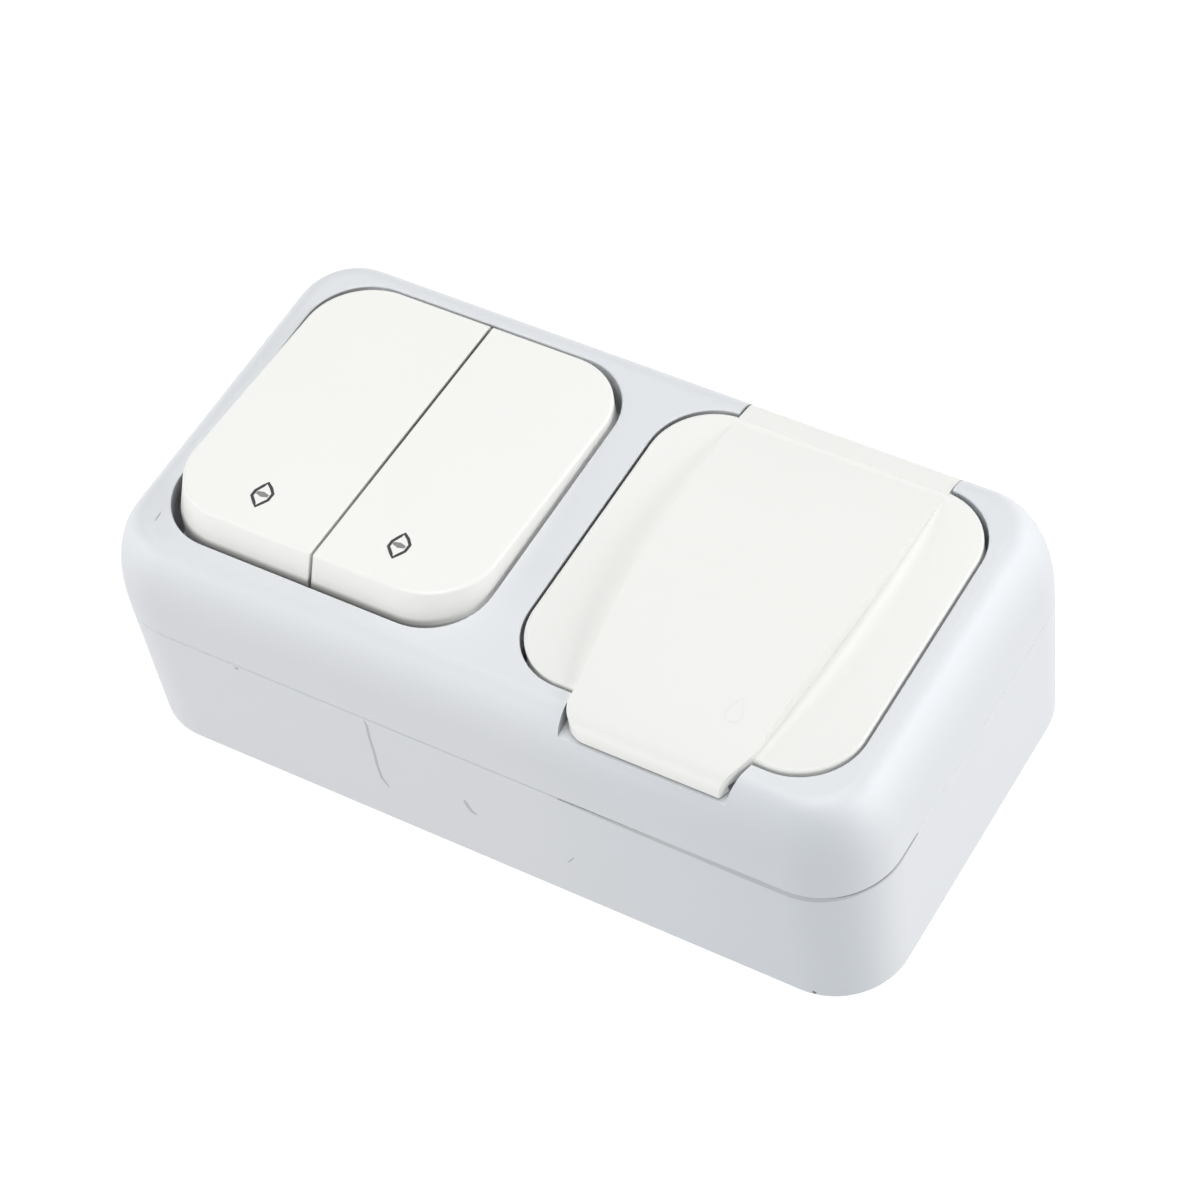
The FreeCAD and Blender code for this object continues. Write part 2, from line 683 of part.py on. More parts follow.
def key_side(side, shrink):
    """Prism that keeps one key; the split between the keys leans over their length."""
    near, far = -WIDTH / 2, WIDTH / 2
    slope = SPLIT_LEAN / (KEY_NEAR + KEY_FAR)
    outer = SWITCH_X + side * OPENING_X
    inner = SWITCH_X + KEY_SPLIT + side * (SPLIT_GAP / 2 + shrink)
    inner_near = inner - slope * (near + KEY_NEAR)
    inner_far = inner - slope * (far + KEY_NEAR)
    corners = [Vector(outer, near, 0), Vector(inner_near, near, 0), Vector(inner_far, far, 0), Vector(outer, far, 0)]
    face = Part.Face(Part.makePolygon(corners + corners[:1]))
    return face.extrude(Z_AXIS * 2 * COVER_TOP)


def split_border(shape):
    """Upper edges of a key along the split."""
    found = []
    for edge in shape.Edges:
        place = edge.CenterOfMass
        from_split = abs(place.x - SWITCH_X - KEY_SPLIT)
        if from_split < SPLIT_GAP + SPLIT_LEAN and place.z > KEY_TOP - BEVEL_DROP / 2:
            found.append(edge)
    return found


def tilted(shape):
    """Turn a level key piece to its rest position, with the near end up."""
    turned = shape.copy()
    turned.rotate(Vector(0, GANG_RISE, PIVOT_Z), X_AXIS, -KEY_TILT)
    return turned


def rocker(side):
    """One hollow key with the clips that hold it on its actuator."""
    body = twin_key(0, 0)
    body = body.makeFillet(KEY_EDGE, level_edges(body, KEY_TOP))
    body = body.common(key_side(side, 0)).removeSplitter()
    body = body.makeFillet(SPLIT_EDGE, split_border(body))
    inner = twin_key(KEY_WALL, KEY_SKIN).common(key_side(side, KEY_WALL))
    body = body.cut(inner)
    clips = []
    hub_x = SWITCH_X + side * ACTUATOR_PITCH / 2
    seat_z = KEY_TOP - KEY_SKIN
    for end in (-1, 1):
        wall_x = hub_x + end * (ACTUATOR_HALF + AXLE_FIT + CLIP_THICK / 2)
        z_span = (seat_z - CLIP_DEPTH + ACTUATOR_PLATE / 2, seat_z + KEY_SKIN / 2)
        clips.append(centred(wall_x, GANG_RISE, CLIP_THICK, CLIP_LENGTH, z_span))
    return tilted(joined([body] + clips))


def actuator(side):
    """Moulded rocker of the mechanism: plate, hub, axle ends and plunger tube."""
    x = SWITCH_X + side * ACTUATOR_PITCH / 2
    seat_z = KEY_TOP - KEY_SKIN
    plate_low = seat_z - ACTUATOR_PLATE
    plate = centred(x, GANG_RISE, 2 * ACTUATOR_HALF, ACTUATOR_PLATE_LENGTH, (plate_low, seat_z))
    hub_start = Vector(x - ACTUATOR_HALF, GANG_RISE, PIVOT_Z)
    hub = rod(ACTUATOR_HUB_R, hub_start, 2 * ACTUATOR_HALF, X_AXIS)
    web = centred(x, GANG_RISE, 2 * ACTUATOR_HALF, ACTUATOR_HUB_R, (PIVOT_Z, plate_low + 1))
    axle_half = ACTUATOR_HALF + SIDE_PLAY + EAR_THICK
    axle = rod(AXLE_R, Vector(x - axle_half, GANG_RISE, PIVOT_Z), 2 * axle_half, X_AXIS)
    tube = rod(TUBE_R, Vector(x, GANG_RISE, ACTUATOR_FOOT), PIVOT_Z - ACTUATOR_FOOT)
    bore = rod(TUBE_BORE_R, Vector(x, GANG_RISE, ACTUATOR_FOOT - 1), BORE_TOP - ACTUATOR_FOOT + 1)
    return tilted(joined([plate, hub, web, axle, tube]).cut(bore))


def plunger_tip_z():
    return BRIDGE_Z + BRIDGE_THICK / 2 + PLUNGER_GAP


def plunger(side):
    x = SWITCH_X + side * ACTUATOR_PITCH / 2
    tip = plunger_tip_z()
    ball = Part.makeSphere(PLUNGER_R, Vector(x, GANG_RISE, tip + PLUNGER_R))
    stem = rod(PLUNGER_R, Vector(x, GANG_RISE, tip + PLUNGER_R), PLUNGER_LENGTH - PLUNGER_R)
    return tilted(joined([ball, stem]))


def plunger_spring(side):
    x = SWITCH_X + side * ACTUATOR_PITCH / 2
    low = plunger_tip_z() + PLUNGER_LENGTH + PLUNGER_SPRING_WIRE / 2
    high = BORE_TOP - PLUNGER_SPRING_WIRE / 2
    pitch = (high - low) / PLUNGER_SPRING_TURNS
    place = FreeCAD.Placement(Vector(x, GANG_RISE, low), FreeCAD.Rotation())
    return tilted(coil(PLUNGER_SPRING_R, PLUNGER_SPRING_WIRE, pitch, PLUNGER_SPRING_TURNS, place))


# Switch mechanism


def fixing_tabs(x, seat):
    """Two tabs that stand on the posts of the box, in line with the block."""
    tabs = []
    for side in (-1, 1):
        middle = GANG_RISE + side * FIXING_Y / 2
        low_y, high_y = sorted((GANG_RISE + side * (BLOCK / 2 - 1), middle + side * POST_R))
        x_span = (x - FIXING_TAB / 2, x + FIXING_TAB / 2)
        tabs.append(block(x_span, (low_y, high_y), (seat, seat + FIXING_TAB_THICK)))
    return tabs


def fixing_holes(x, seat):
    holes = []
    for side in (-1, 1):
        place = Vector(x, GANG_RISE + side * FIXING_Y / 2, seat - 1)
        holes.append(rod(FIXING_SCREW_R + SCREW_CLEARANCE, place, FIXING_TAB_THICK + 2))
    return holes


def fixing_screws(x, seat):
    top = seat + FIXING_TAB_THICK + FIXING_HEAD
    screws = []
    for side in (-1, 1):
        y = GANG_RISE + side * FIXING_Y / 2
        length = min(FIXING_LENGTH, seat + FIXING_TAB_THICK - FIXING_TIP_GAP)
        screws.append(slotted_screw(FIXING_SCREW_R, length, FIXING_HEAD_R, FIXING_HEAD, top, x, y))
    return compound(screws)


def terminal_places():
    """Middle of each terminal of the switch: x, y and how far its arm reaches."""
    outer_y = CAVITY_Y / 2 - TERMINAL_Y / 2 - POCKET_PLAY
    places = []
    for side in (-1, 1):
        x = SWITCH_X + side * ACTUATOR_PITCH / 2
        for end in (-1, 1):
            places.append((x, GANG_RISE + end * outer_y, end))
    return places


def switch_base():
    body = centred(SWITCH_X, GANG_RISE, BLOCK, BLOCK, (SWITCH_SEAT, SWITCH_TOP))
    upright = [edge for edge in body.Edges if abs(edge.tangentAt(0).z) > 0.9]
    body = body.makeFillet(BLOCK_CORNER, upright)
    body = joined([body] + fixing_tabs(SWITCH_X, SWITCH_SEAT))
    cuts = fixing_holes(SWITCH_X, SWITCH_SEAT)
    for side in (-1, 1):
        x = SWITCH_X + side * ACTUATOR_PITCH / 2
        cuts.append(centred(x, GANG_RISE, CAVITY_X, CAVITY_Y, (CAVITY_FLOOR, SWITCH_TOP + 1)))
    for x, y, end in terminal_places():
        hole_z = CAVITY_FLOOR + clamp_height() / 3
        start = Vector(x, GANG_RISE + end * (CAVITY_Y / 2 - 1), hole_z)
        cuts.append(rod(WIRE_HOLE_R, start, CAVITY_END + 2, Y_AXIS * end))
    return body.cut(compound(cuts))


def bridge_drop():
    """How far the lowered end of a contact bridge lies under its pivot."""
    return BRIDGE_REACH * math.sin(math.radians(BRIDGE_TILT))


def arm_level():
    """Upper face of the terminal arms, under the fixed contact buttons."""
    return BRIDGE_Z - bridge_drop() - BRIDGE_THICK / 2 - 2 * CONTACT_THICK - CONTACT_GAP


def clamp_height():
    return arm_level() - STRIP_THICK - CAVITY_FLOOR


def switch_terminals():
    """Two outer terminals and one common terminal for each key."""
    pieces = []
    arm_top = arm_level()
    for x, y, end in terminal_places():
        clamp = centred(x, y, TERMINAL_X, TERMINAL_Y, (CAVITY_FLOOR, arm_top - STRIP_THICK))
        contact_y = GANG_RISE + end * BRIDGE_REACH
        low_y, high_y = sorted((contact_y - end * CONTACT_R, y + end * TERMINAL_Y / 2))
        arm_x = (x - BRIDGE_WIDTH / 2, x + BRIDGE_WIDTH / 2)
        arm = block(arm_x, (low_y, high_y), (arm_top - STRIP_THICK, arm_top))
        pad = rod(CONTACT_R, Vector(x, contact_y, arm_top), CONTACT_THICK)
        screw_y = y + end * TERMINAL_Y / 8
        hole = rod(TERMINAL_SCREW_R + THREAD_PLAY, Vector(x, screw_y, CAVITY_FLOOR - 1), SWITCH_HEIGHT)
        wire_z = CAVITY_FLOOR + clamp_height() / 3
        wire = rod(WIRE_HOLE_R, Vector(x, y - TERMINAL_Y, wire_z), 2 * TERMINAL_Y, Y_AXIS)
        pieces.append(joined([clamp, arm, pad]).cut(hole).cut(wire))
    for side in (-1, 1):
        x = SWITCH_X + side * ACTUATOR_PITCH / 2
        foot_z = (CAVITY_FLOOR, CAVITY_FLOOR + clamp_height() / 2)
        foot = centred(x, GANG_RISE, TERMINAL_X, TERMINAL_Y, foot_z)
        edge_z = BRIDGE_Z - BRIDGE_THICK / 2 - CONTACT_GAP
        blade = centred(x, GANG_RISE, BRIDGE_WIDTH, STRIP_THICK, (CAVITY_FLOOR, edge_z))
        pieces.append(joined([foot, blade]))
    return compound(pieces)


def switch_terminal_screws():
    screws = []
    length = arm_level() - CAVITY_FLOOR - TERMINAL_TIP_GAP
    for x, y, end in terminal_places():
        screw_y = y + end * TERMINAL_Y / 8
        screws.append(
            slotted_screw(
                TERMINAL_SCREW_R,
                length,
                TERMINAL_HEAD_R,
                TERMINAL_HEAD,
                arm_level() + TERMINAL_HEAD,
                x,
                screw_y,
            )
        )
    return compound(screws)


def contact_bridge(side):
    """Seesaw strip with a contact button under each end."""
    x = SWITCH_X + side * ACTUATOR_PITCH / 2
    half = BRIDGE_REACH + CONTACT_R
    z_span = (BRIDGE_Z - BRIDGE_THICK / 2, BRIDGE_Z + BRIDGE_THICK / 2)
    pieces = [centred(x, GANG_RISE, BRIDGE_WIDTH, 2 * half, z_span)]
    for end in (-1, 1):
        place = Vector(x, GANG_RISE + end * BRIDGE_REACH, z_span[0] - CONTACT_THICK)
        pieces.append(rod(CONTACT_R, place, CONTACT_THICK))
    strip = joined(pieces)
    strip.rotate(Vector(0, GANG_RISE, BRIDGE_Z), X_AXIS, BRIDGE_TILT)
    return strip


def switch_yoke():
    """Cover plate of the mechanism with four ears that carry the actuators."""
    z_span = (SWITCH_TOP, SWITCH_TOP + YOKE_THICK)
    plate = rounded_plate(SWITCH_X, GANG_RISE, BLOCK, BLOCK, BLOCK_CORNER, z_span)
    pieces = [plate]
    cuts = []
    ear_inner = ACTUATOR_HALF + SIDE_PLAY
    for side in (-1, 1):
        x = SWITCH_X + side * ACTUATOR_PITCH / 2
        for end in (-1, 1):
            ear_x = x + end * (ear_inner + EAR_THICK / 2)
            ear_z = (z_span[0], PIVOT_Z)
            pieces.append(centred(ear_x, GANG_RISE, EAR_THICK, 2 * EAR_HALF, ear_z))
            round_start = Vector(ear_x - EAR_THICK / 2, GANG_RISE, PIVOT_Z)
            pieces.append(rod(EAR_HALF, round_start, EAR_THICK, X_AXIS))
            hole_start = Vector(ear_x - EAR_THICK, GANG_RISE, PIVOT_Z)
            cuts.append(rod(AXLE_R + AXLE_FIT, hole_start, 2 * EAR_THICK, X_AXIS))
        slot_x = 2 * (TUBE_R + TUBE_PLAY_X)
        slot_y = 2 * (TUBE_R + TUBE_PLAY_Y)
        slot_z = (SWITCH_TOP - 1, SWITCH_TOP + YOKE_THICK + 1)
        cuts.append(rounded_plate(x, GANG_RISE, slot_x, slot_y, BLOCK_CORNER, slot_z))
    for x, y, end in terminal_places():
        place = Vector(x, y + end * TERMINAL_Y / 8, SWITCH_TOP - 1)
        cuts.append(rod(TERMINAL_HEAD_R + SCREW_CLEARANCE, place, YOKE_THICK + 2))
    return joined(pieces).cut(compound(cuts))


# Socket outlet


def socket_insert():
    """Front plate with the round well, its guide ribs and the pin holes."""
    z_span = (INSERT_TOP - INSERT_THICK, INSERT_TOP)
    size_x = OPENING_X - 2 * INSERT_GAP
    size_y = OPENING_Y - 2 * INSERT_GAP
    plate = rounded_plate(SOCKET_X, GANG_RISE, size_x, size_y, OPENING_CORNER - INSERT_GAP, z_span)
    top_edges = [edge for edge in plate.Edges if edge.BoundBox.ZMin > INSERT_TOP - 0.01]
    plate = plate.makeFillet(INSERT_EDGE, top_edges)
    centre = Vector(SOCKET_X, GANG_RISE, 0)
    wall = rod(WELL_R + WELL_WALL, centre + Z_AXIS * SOCKET_TOP, INSERT_TOP - SOCKET_TOP - 1)
    body = joined([plate, wall])
    mouth = Part.makeCone(
        WELL_R,
        WELL_R + WELL_MOUTH,
        WELL_MOUTH,
        centre + Z_AXIS * (INSERT_TOP - WELL_MOUTH),
        Z_AXIS,
    )
    well = rod(WELL_R, centre + Z_AXIS * WELL_BOTTOM, WELL_DEPTH + 1)
    body = body.cut(well).cut(mouth)
    ribs = []
    for side in (-1, 1):
        low_x, high_x = sorted((side * (WELL_R - GUIDE_DEPTH), side * (WELL_R + WELL_WALL / 2)))
        rib_x = (SOCKET_X + low_x, SOCKET_X + high_x)
        rib_y = (GANG_RISE - GUIDE_WIDTH / 2, GANG_RISE + GUIDE_WIDTH / 2)
        ribs.append(block(rib_x, rib_y, (WELL_BOTTOM - 1, INSERT_TOP - 2 * WELL_MOUTH)))
    body = joined([body] + ribs)
    cuts = []
    for side in (-1, 1):
        pin = centre + X_AXIS * side * PIN_SPACING / 2
        cuts.append(rod(PIN_HOLE_R, pin + Z_AXIS * (SOCKET_TOP - 1), WELL_FLOOR + 2))
        slot_y = GANG_RISE + side * (WELL_R - EARTH_SWING + WELL_WALL / 2 + EARTH_SLOT_PLAY)
        depth = EARTH_SWING + WELL_WALL + 3 * EARTH_SLOT_PLAY
        slot_low, slot_high = sorted((slot_y - side * WELL_WALL, slot_y + side * depth))
        slot_x = (SOCKET_X - EARTH_WIDTH / 2 - EARTH_SLOT_PLAY, SOCKET_X + EARTH_WIDTH / 2 + EARTH_SLOT_PLAY)
        cuts.append(block(slot_x, (slot_low, slot_high), (SOCKET_TOP - 1, INSERT_TOP - INSERT_THICK)))
    cuts.append(rod(CENTRE_SCREW_R + SCREW_CLEARANCE, centre + Z_AXIS * (SOCKET_TOP - 1), WELL_FLOOR + 2))
    cuts.append(rod(CENTRE_HEAD_R + SCREW_CLEARANCE, centre + Z_AXIS * (WELL_BOTTOM - CENTRE_HEAD), 3))
    return body.cut(compound(cuts))


def sleeve_x_span(side, play=0.0):
    inner = PIN_SPACING / 2 - SLEEVE_WIDTH / 2 - play
    outer = PIN_SPACING / 2 + SLEEVE_REACH + play
    low, high = sorted((side * inner, side * outer))
    return SOCKET_X + low, SOCKET_X + high


def socket_base():
    body = centred(SOCKET_X, GANG_RISE, BLOCK, BLOCK, (SOCKET_SEAT, SOCKET_TOP))
    upright = [edge for edge in body.Edges if abs(edge.tangentAt(0).z) > 0.9]
    body = body.makeFillet(SOCKET_CORNER, upright)
    body = joined([body] + fixing_tabs(SOCKET_X, SOCKET_SEAT))
    cuts = fixing_holes(SOCKET_X, SOCKET_SEAT)
    pocket_y = (
        GANG_RISE - SLEEVE_WIDTH / 2 - POCKET_PLAY,
        GANG_RISE + SLEEVE_WIDTH / 2 + POCKET_PLAY,
    )
    for side in (-1, 1):
        cuts.append(block(sleeve_x_span(side, POCKET_PLAY), pocket_y, (SLEEVE_LOW, SOCKET_TOP + 1)))
        start = Vector(SOCKET_X + side * (PIN_SPACING / 2 + SLEEVE_REACH), GANG_RISE, wire_level())
        cuts.append(rod(WIRE_HOLE_R, start, BLOCK / 2 - PIN_SPACING / 2 - SLEEVE_REACH + 1, X_AXIS * side))
    groove_half = EARTH_WIDTH / 2 + POCKET_PLAY
    groove_z = (SOCKET_TOP - EARTH_DROP, SOCKET_TOP + 1)
    cuts.append(centred(SOCKET_X, GANG_RISE, 2 * groove_half, BLOCK + 2, groove_z))
    nut = EARTH_NUT + 2 * POCKET_PLAY
    nut_z = (SOCKET_TOP - EARTH_DROP - EARTH_NUT, SOCKET_TOP)
    cuts.append(centred(SOCKET_X, GANG_RISE + EARTH_SCREW_Y, nut, nut, nut_z))
    head = rod(
        FIXING_HEAD_R + SCREW_CLEARANCE,
        Vector(SOCKET_X, GANG_RISE + EARTH_SCREW_Y, SOCKET_TOP - EARTH_DROP),
        EARTH_DROP + 1,
    )
    cuts.append(head)
    screw = Vector(SOCKET_X, GANG_RISE, WELL_BOTTOM - CENTRE_HEAD - CENTRE_LENGTH)
    cuts.append(rod(CENTRE_SCREW_R + THREAD_PLAY, screw, CENTRE_LENGTH))
    return body.cut(compound(cuts))


def wire_level():
    return SLEEVE_LOW + SLEEVE_LENGTH / 3


def pin_sleeve(side):
    """Brass contact: a split sleeve for the plug pin and a clamp for the wire."""
    y_span = (GANG_RISE - SLEEVE_WIDTH / 2, GANG_RISE + SLEEVE_WIDTH / 2)
    body = block(sleeve_x_span(side), y_span, (SLEEVE_LOW, SLEEVE_TOP))
    axis_x = SOCKET_X + side * PIN_SPACING / 2
    bore = rod(SLEEVE_BORE_R, Vector(axis_x, GANG_RISE, SLEEVE_LOW - 1), SLEEVE_LENGTH + 2)
    slit_low, slit_high = sorted((axis_x, axis_x - side * SLEEVE_WIDTH))
    slit_y = (GANG_RISE - SLEEVE_SLIT / 2, GANG_RISE + SLEEVE_SLIT / 2)
    slit = block((slit_low, slit_high), slit_y, (wire_level(), SLEEVE_TOP + 1))
    screw_x = clamp_x(side)
    screw_low = Vector(screw_x, GANG_RISE, SLEEVE_TOP - TERMINAL_SCREW_LENGTH - 1)
    screw = rod(TERMINAL_SCREW_R + THREAD_PLAY, screw_low, TERMINAL_SCREW_LENGTH + 2)
    wire_start = Vector(axis_x + side * (SLEEVE_BORE_R + 1), GANG_RISE, wire_level())
    wire = rod(WIRE_HOLE_R, wire_start, SLEEVE_REACH, X_AXIS * side)
    return body.cut(compound([bore, slit])).cut(screw).cut(wire)


def clamp_x(side):
    return SOCKET_X + side * (PIN_SPACING / 2 + SLEEVE_REACH - CLAMP_INSET)


def earth_bracket():
    """Sheet strip under the well whose two ends rise as springy earth clips."""
    low = SOCKET_TOP - EARTH_DROP
    x_span = (SOCKET_X - EARTH_WIDTH / 2, SOCKET_X + EARTH_WIDTH / 2)
    reach = WELL_R + WELL_WALL / 2
    pieces = [block(x_span, (GANG_RISE - reach, GANG_RISE + reach), (low, low + STRIP_THICK))]
    for side in (-1, 1):
        heights = (0.0, EARTH_KNEE, EARTH_GRIP, 1.0)
        leans = (0.0, 0.0, EARTH_SWING, EARTH_MOUTH)
        path = []
        for height, lean in zip(heights, leans):
            path.append((side * (reach - lean), low + height * (EARTH_RISE + EARTH_DROP)))
        back = [(y - side * STRIP_THICK, z) for y, z in reversed(path)]
        outline = [(GANG_RISE + y, z) for y, z in path + back]
        pieces.append(polygon_prism(outline, x_span))
    nut_z = (low - EARTH_NUT, low)
    pieces.append(centred(SOCKET_X, GANG_RISE + EARTH_SCREW_Y, EARTH_NUT, EARTH_NUT, nut_z))
    body = joined(pieces)
    screw_low = Vector(SOCKET_X, GANG_RISE + EARTH_SCREW_Y, low - TERMINAL_SCREW_LENGTH + 1)
    screw = rod(TERMINAL_SCREW_R + THREAD_PLAY, screw_low, TERMINAL_SCREW_LENGTH + 2)
    centre = rod(CENTRE_SCREW_R + SCREW_CLEARANCE, Vector(SOCKET_X, GANG_RISE, low - 1), 4)
    return body.cut(screw).cut(centre)


def socket_terminal_screws():
    screws = []
    top = SLEEVE_TOP + TERMINAL_HEAD
    for side in (-1, 1):
        screws.append(
            slotted_screw(
                TERMINAL_SCREW_R,
                TERMINAL_SCREW_LENGTH,
                TERMINAL_HEAD_R,
                TERMINAL_HEAD,
                top,
                clamp_x(side),
                GANG_RISE,
            )
        )
    earth_top = SOCKET_TOP - EARTH_DROP + STRIP_THICK + TERMINAL_HEAD
    screws.append(
        slotted_screw(
            TERMINAL_SCREW_R,
            TERMINAL_SCREW_LENGTH - STRIP_THICK,
            TERMINAL_HEAD_R,
            TERMINAL_HEAD,
            earth_top,
            SOCKET_X,
            GANG_RISE + EARTH_SCREW_Y,
        )
    )
    return compound(screws)


def socket_centre_screw():
    return slotted_screw(
        CENTRE_SCREW_R,
        CENTRE_LENGTH,
        CENTRE_HEAD_R,
        CENTRE_HEAD,
        WELL_BOTTOM,
        SOCKET_X,
        GANG_RISE,
    )


# Lid


def crown_prism(lower, x_span, near_y, far_y, low_z):
    """Prism along X whose upper side is the arc of the crown, lowered by a distance."""
    radius = CROWN_R - lower

    def spot(y):
        return Vector(x_span[0], y, CROWN_CENTRE_Z + math.sqrt(radius ** 2 - (y - CROWN_Y) ** 2))

    near = spot(near_y)
    far = spot(far_y)
    foot_near = Vector(x_span[0], near_y, low_z)
    foot_far = Vector(x_span[0], far_y, low_z)
    edges = [
        Part.Arc(near, spot((near_y + far_y) / 2), far).toShape(),
        Part.LineSegment(far, foot_far).toShape(),
        Part.LineSegment(foot_far, foot_near).toShape(),
        Part.LineSegment(foot_near, near).toShape(),
    ]
    return Part.Face(Part.Wire(edges)).extrude(X_AXIS * (x_span[1] - x_span[0]))


def lid_wings():
    """Flat plate of the lid that closes the opening."""
    size_x = OPENING_X - 2 * LID_GAP
    near = OPENING_NEAR + LID_GAP
    far = OPENING_FAR - LID_FAR_GAP
    plate = rounded_plate(SOCKET_X, (near + far) / 2, size_x, far - near, LID_CORNER, (LID_BOTTOM, LID_TOP))
    upper = [edge for edge in plate.Edges if edge.BoundBox.ZMin > LID_TOP - 0.01]
    plate = plate.makeFillet(LID_EDGE, upper)
    wedge = polygon_prism(
        [
            (far + 0.1, LID_BOTTOM - 0.1),
            (far + 0.1, LID_BOTTOM + LID_FAR_BEVEL),
            (far, LID_BOTTOM + LID_FAR_BEVEL),
            (far - LID_FAR_BEVEL, LID_BOTTOM),
            (far - LID_FAR_BEVEL, LID_BOTTOM - 0.1),
        ],
        (SOCKET_X - size_x, SOCKET_X + size_x),
    )
    return plate.cut(wedge)


def lid_band():
    """Crowned band that runs from the hinge over the plate to the turned-down lip."""
    x_span = (SOCKET_X - 2 * BAND_FAR, SOCKET_X + 2 * BAND_FAR)
    body = crown_prism(0, x_span, -LIP_Y, CROWN_FAR, LID_BOTTOM)
    skirt_top = (LID_BOTTOM + LID_TOP) / 2
    skirt = block(x_span, (-LIP_Y, -LIP_Y + LIP_THICK), (COVER_TOP - LIP_DROP, skirt_top))
    body = joined([body, skirt])
    ends = []
    for edge in body.Edges:
        place = edge.CenterOfMass
        if abs(place.y + LIP_Y) < 0.01 and place.z > COVER_TOP - 1 and edge.Length > BAND_FAR:
            ends.append(edge)
    body = body.makeFillet(LIP_ROUND, ends)
    z_span = (COVER_TOP - LIP_DROP - 1, COVER_TOP + 2 * CROWN_RISE)
    body = body.common(band_prism(0, -LIP_Y, z_span))
    knuckle = rod(KNUCKLE_R, Vector(SOCKET_X - BAND_FAR, HINGE_Y, HINGE_Z), 2 * BAND_FAR, X_AXIS)
    return joined([body, knuckle])


def lid():
    body = joined([lid_wings(), lid_band()])
    x_span = (SOCKET_X - 2 * BAND_FAR, SOCKET_X + 2 * BAND_FAR)
    pocket = crown_prism(LID_THICK, x_span, -LID_POCKET / 2, LID_POCKET / 2, LID_BOTTOM - 1)
    inner = band_prism(-LID_THICK, -LIP_Y, (LID_BOTTOM - 1, COVER_TOP + CROWN_RISE))
    body = body.cut(pocket.common(inner))
    knuckle_half = BAND_FAR + 1
    start = Vector(SOCKET_X - knuckle_half, HINGE_Y, HINGE_Z)
    body = body.cut(rod(HINGE_PIN_R + HINGE_FIT, start, 2 * knuckle_half, X_AXIS))
    spring_r = SPRING_R + SPRING_WIRE / 2 + SIDE_PLAY
    x_low = SOCKET_X - SPRING_POCKET / 2
    body = body.cut(rod(spring_r, Vector(x_low, HINGE_Y, HINGE_Z), SPRING_POCKET, X_AXIS))
    leg_room = block(
        (x_low, x_low + SPRING_POCKET),
        (HINGE_Y - spring_r - SPRING_LEG, HINGE_Y + KNUCKLE_R + 1),
        (HINGE_Z - KNUCKLE_R - 1, HINGE_Z),
    )
    return body.cut(leg_room)


def lid_hinge_pin():
    half = BAND_FAR + CHEEK_GAP + HINGE_PIN_END
    return rod(HINGE_PIN_R, Vector(SOCKET_X - half, HINGE_Y, HINGE_Z), 2 * half, X_AXIS)


def lid_spring():
    """Torsion spring round the hinge pin, with one leg that lies over the socket plate."""
    pitch = SPRING_WIRE + SPRING_PITCH_PLAY
    start = Vector(SOCKET_X - SPRING_TURNS * pitch / 2, HINGE_Y, HINGE_Z)
    place = FreeCAD.Placement(start, FreeCAD.Rotation(Y_AXIS, 90))
    return coil(SPRING_R, SPRING_WIRE, pitch, SPRING_TURNS, place, SPRING_LEG)


def lid_gasket():
    """Rubber ring on the underside of the lid that closes on the socket plate."""
    z_span = (INSERT_TOP + SEAL_RING_GAP, LID_BOTTOM)
    outer = rounded_plate(SOCKET_X, GANG_RISE, SEAL_RING, SEAL_RING, SEAL_RING_CORNER, z_span)
    size = SEAL_RING - 2 * SEAL_RING_WIDTH
    hole = rounded_plate(
        SOCKET_X,
        GANG_RISE,
        size,
        size,
        SEAL_RING_CORNER - SEAL_RING_WIDTH,
        (z_span[0] - 1, z_span[1] + 1),
    )
    return outer.cut(hole)


def all_pieces():
    return {
        "base_box": base_box(),
        "front_cover": front_cover(),
        "cover_gasket": cover_gasket(),
        "cable_grommet_left": cable_grommet(SWITCH_X),
        "cable_grommet_right": cable_grommet(SOCKET_X),
        "cover_screws": cover_screws(),
        "switch_base": switch_base(),
        "switch_yoke": switch_yoke(),
        "switch_fixing_screws": fixing_screws(SWITCH_X, SWITCH_SEAT),
        "switch_terminals": switch_terminals(),
        "switch_terminal_screws": switch_terminal_screws(),
        "contact_bridge_left": contact_bridge(-1),
        "contact_bridge_right": contact_bridge(1),
        "rocker_left": rocker(-1),
        "rocker_right": rocker(1),
        "actuator_left": actuator(-1),
        "actuator_right": actuator(1),
        "plunger_left": plunger(-1),
        "plunger_right": plunger(1),
        "plunger_spring_left": plunger_spring(-1),
        "plunger_spring_right": plunger_spring(1),
        "socket_base": socket_base(),
        "socket_insert": socket_insert(),
        "socket_fixing_screws": fixing_screws(SOCKET_X, SOCKET_SEAT),
        "pin_sleeve_live": pin_sleeve(-1),
        "pin_sleeve_neutral": pin_sleeve(1),
        "earth_bracket": earth_bracket(),
        "socket_terminal_screws": socket_terminal_screws(),
        "socket_centre_screw": socket_centre_screw(),
        "lid": lid(),
        "lid_hinge_pin": lid_hinge_pin(),
        "lid_spring": lid_spring(),
        "lid_gasket": lid_gasket(),
    }


os.makedirs("parts", exist_ok=True)
for node, shape in all_pieces().items():
    shape.exportStep("parts/" + node + ".step")
    print(node, len(shape.Solids), round(shape.Volume, 1), shape.isValid())
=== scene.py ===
"""Looks of the surface-mounted twin rocker switch with a lidded socket outlet.

Each CAD piece gets a procedural finish. The signs on the keys, the drop on the lid, the marks
of wear and the shade of the groove are thin strips that follow the CAD surfaces.
"""

import json
import math

import bpy
from mathutils import Matrix, Vector


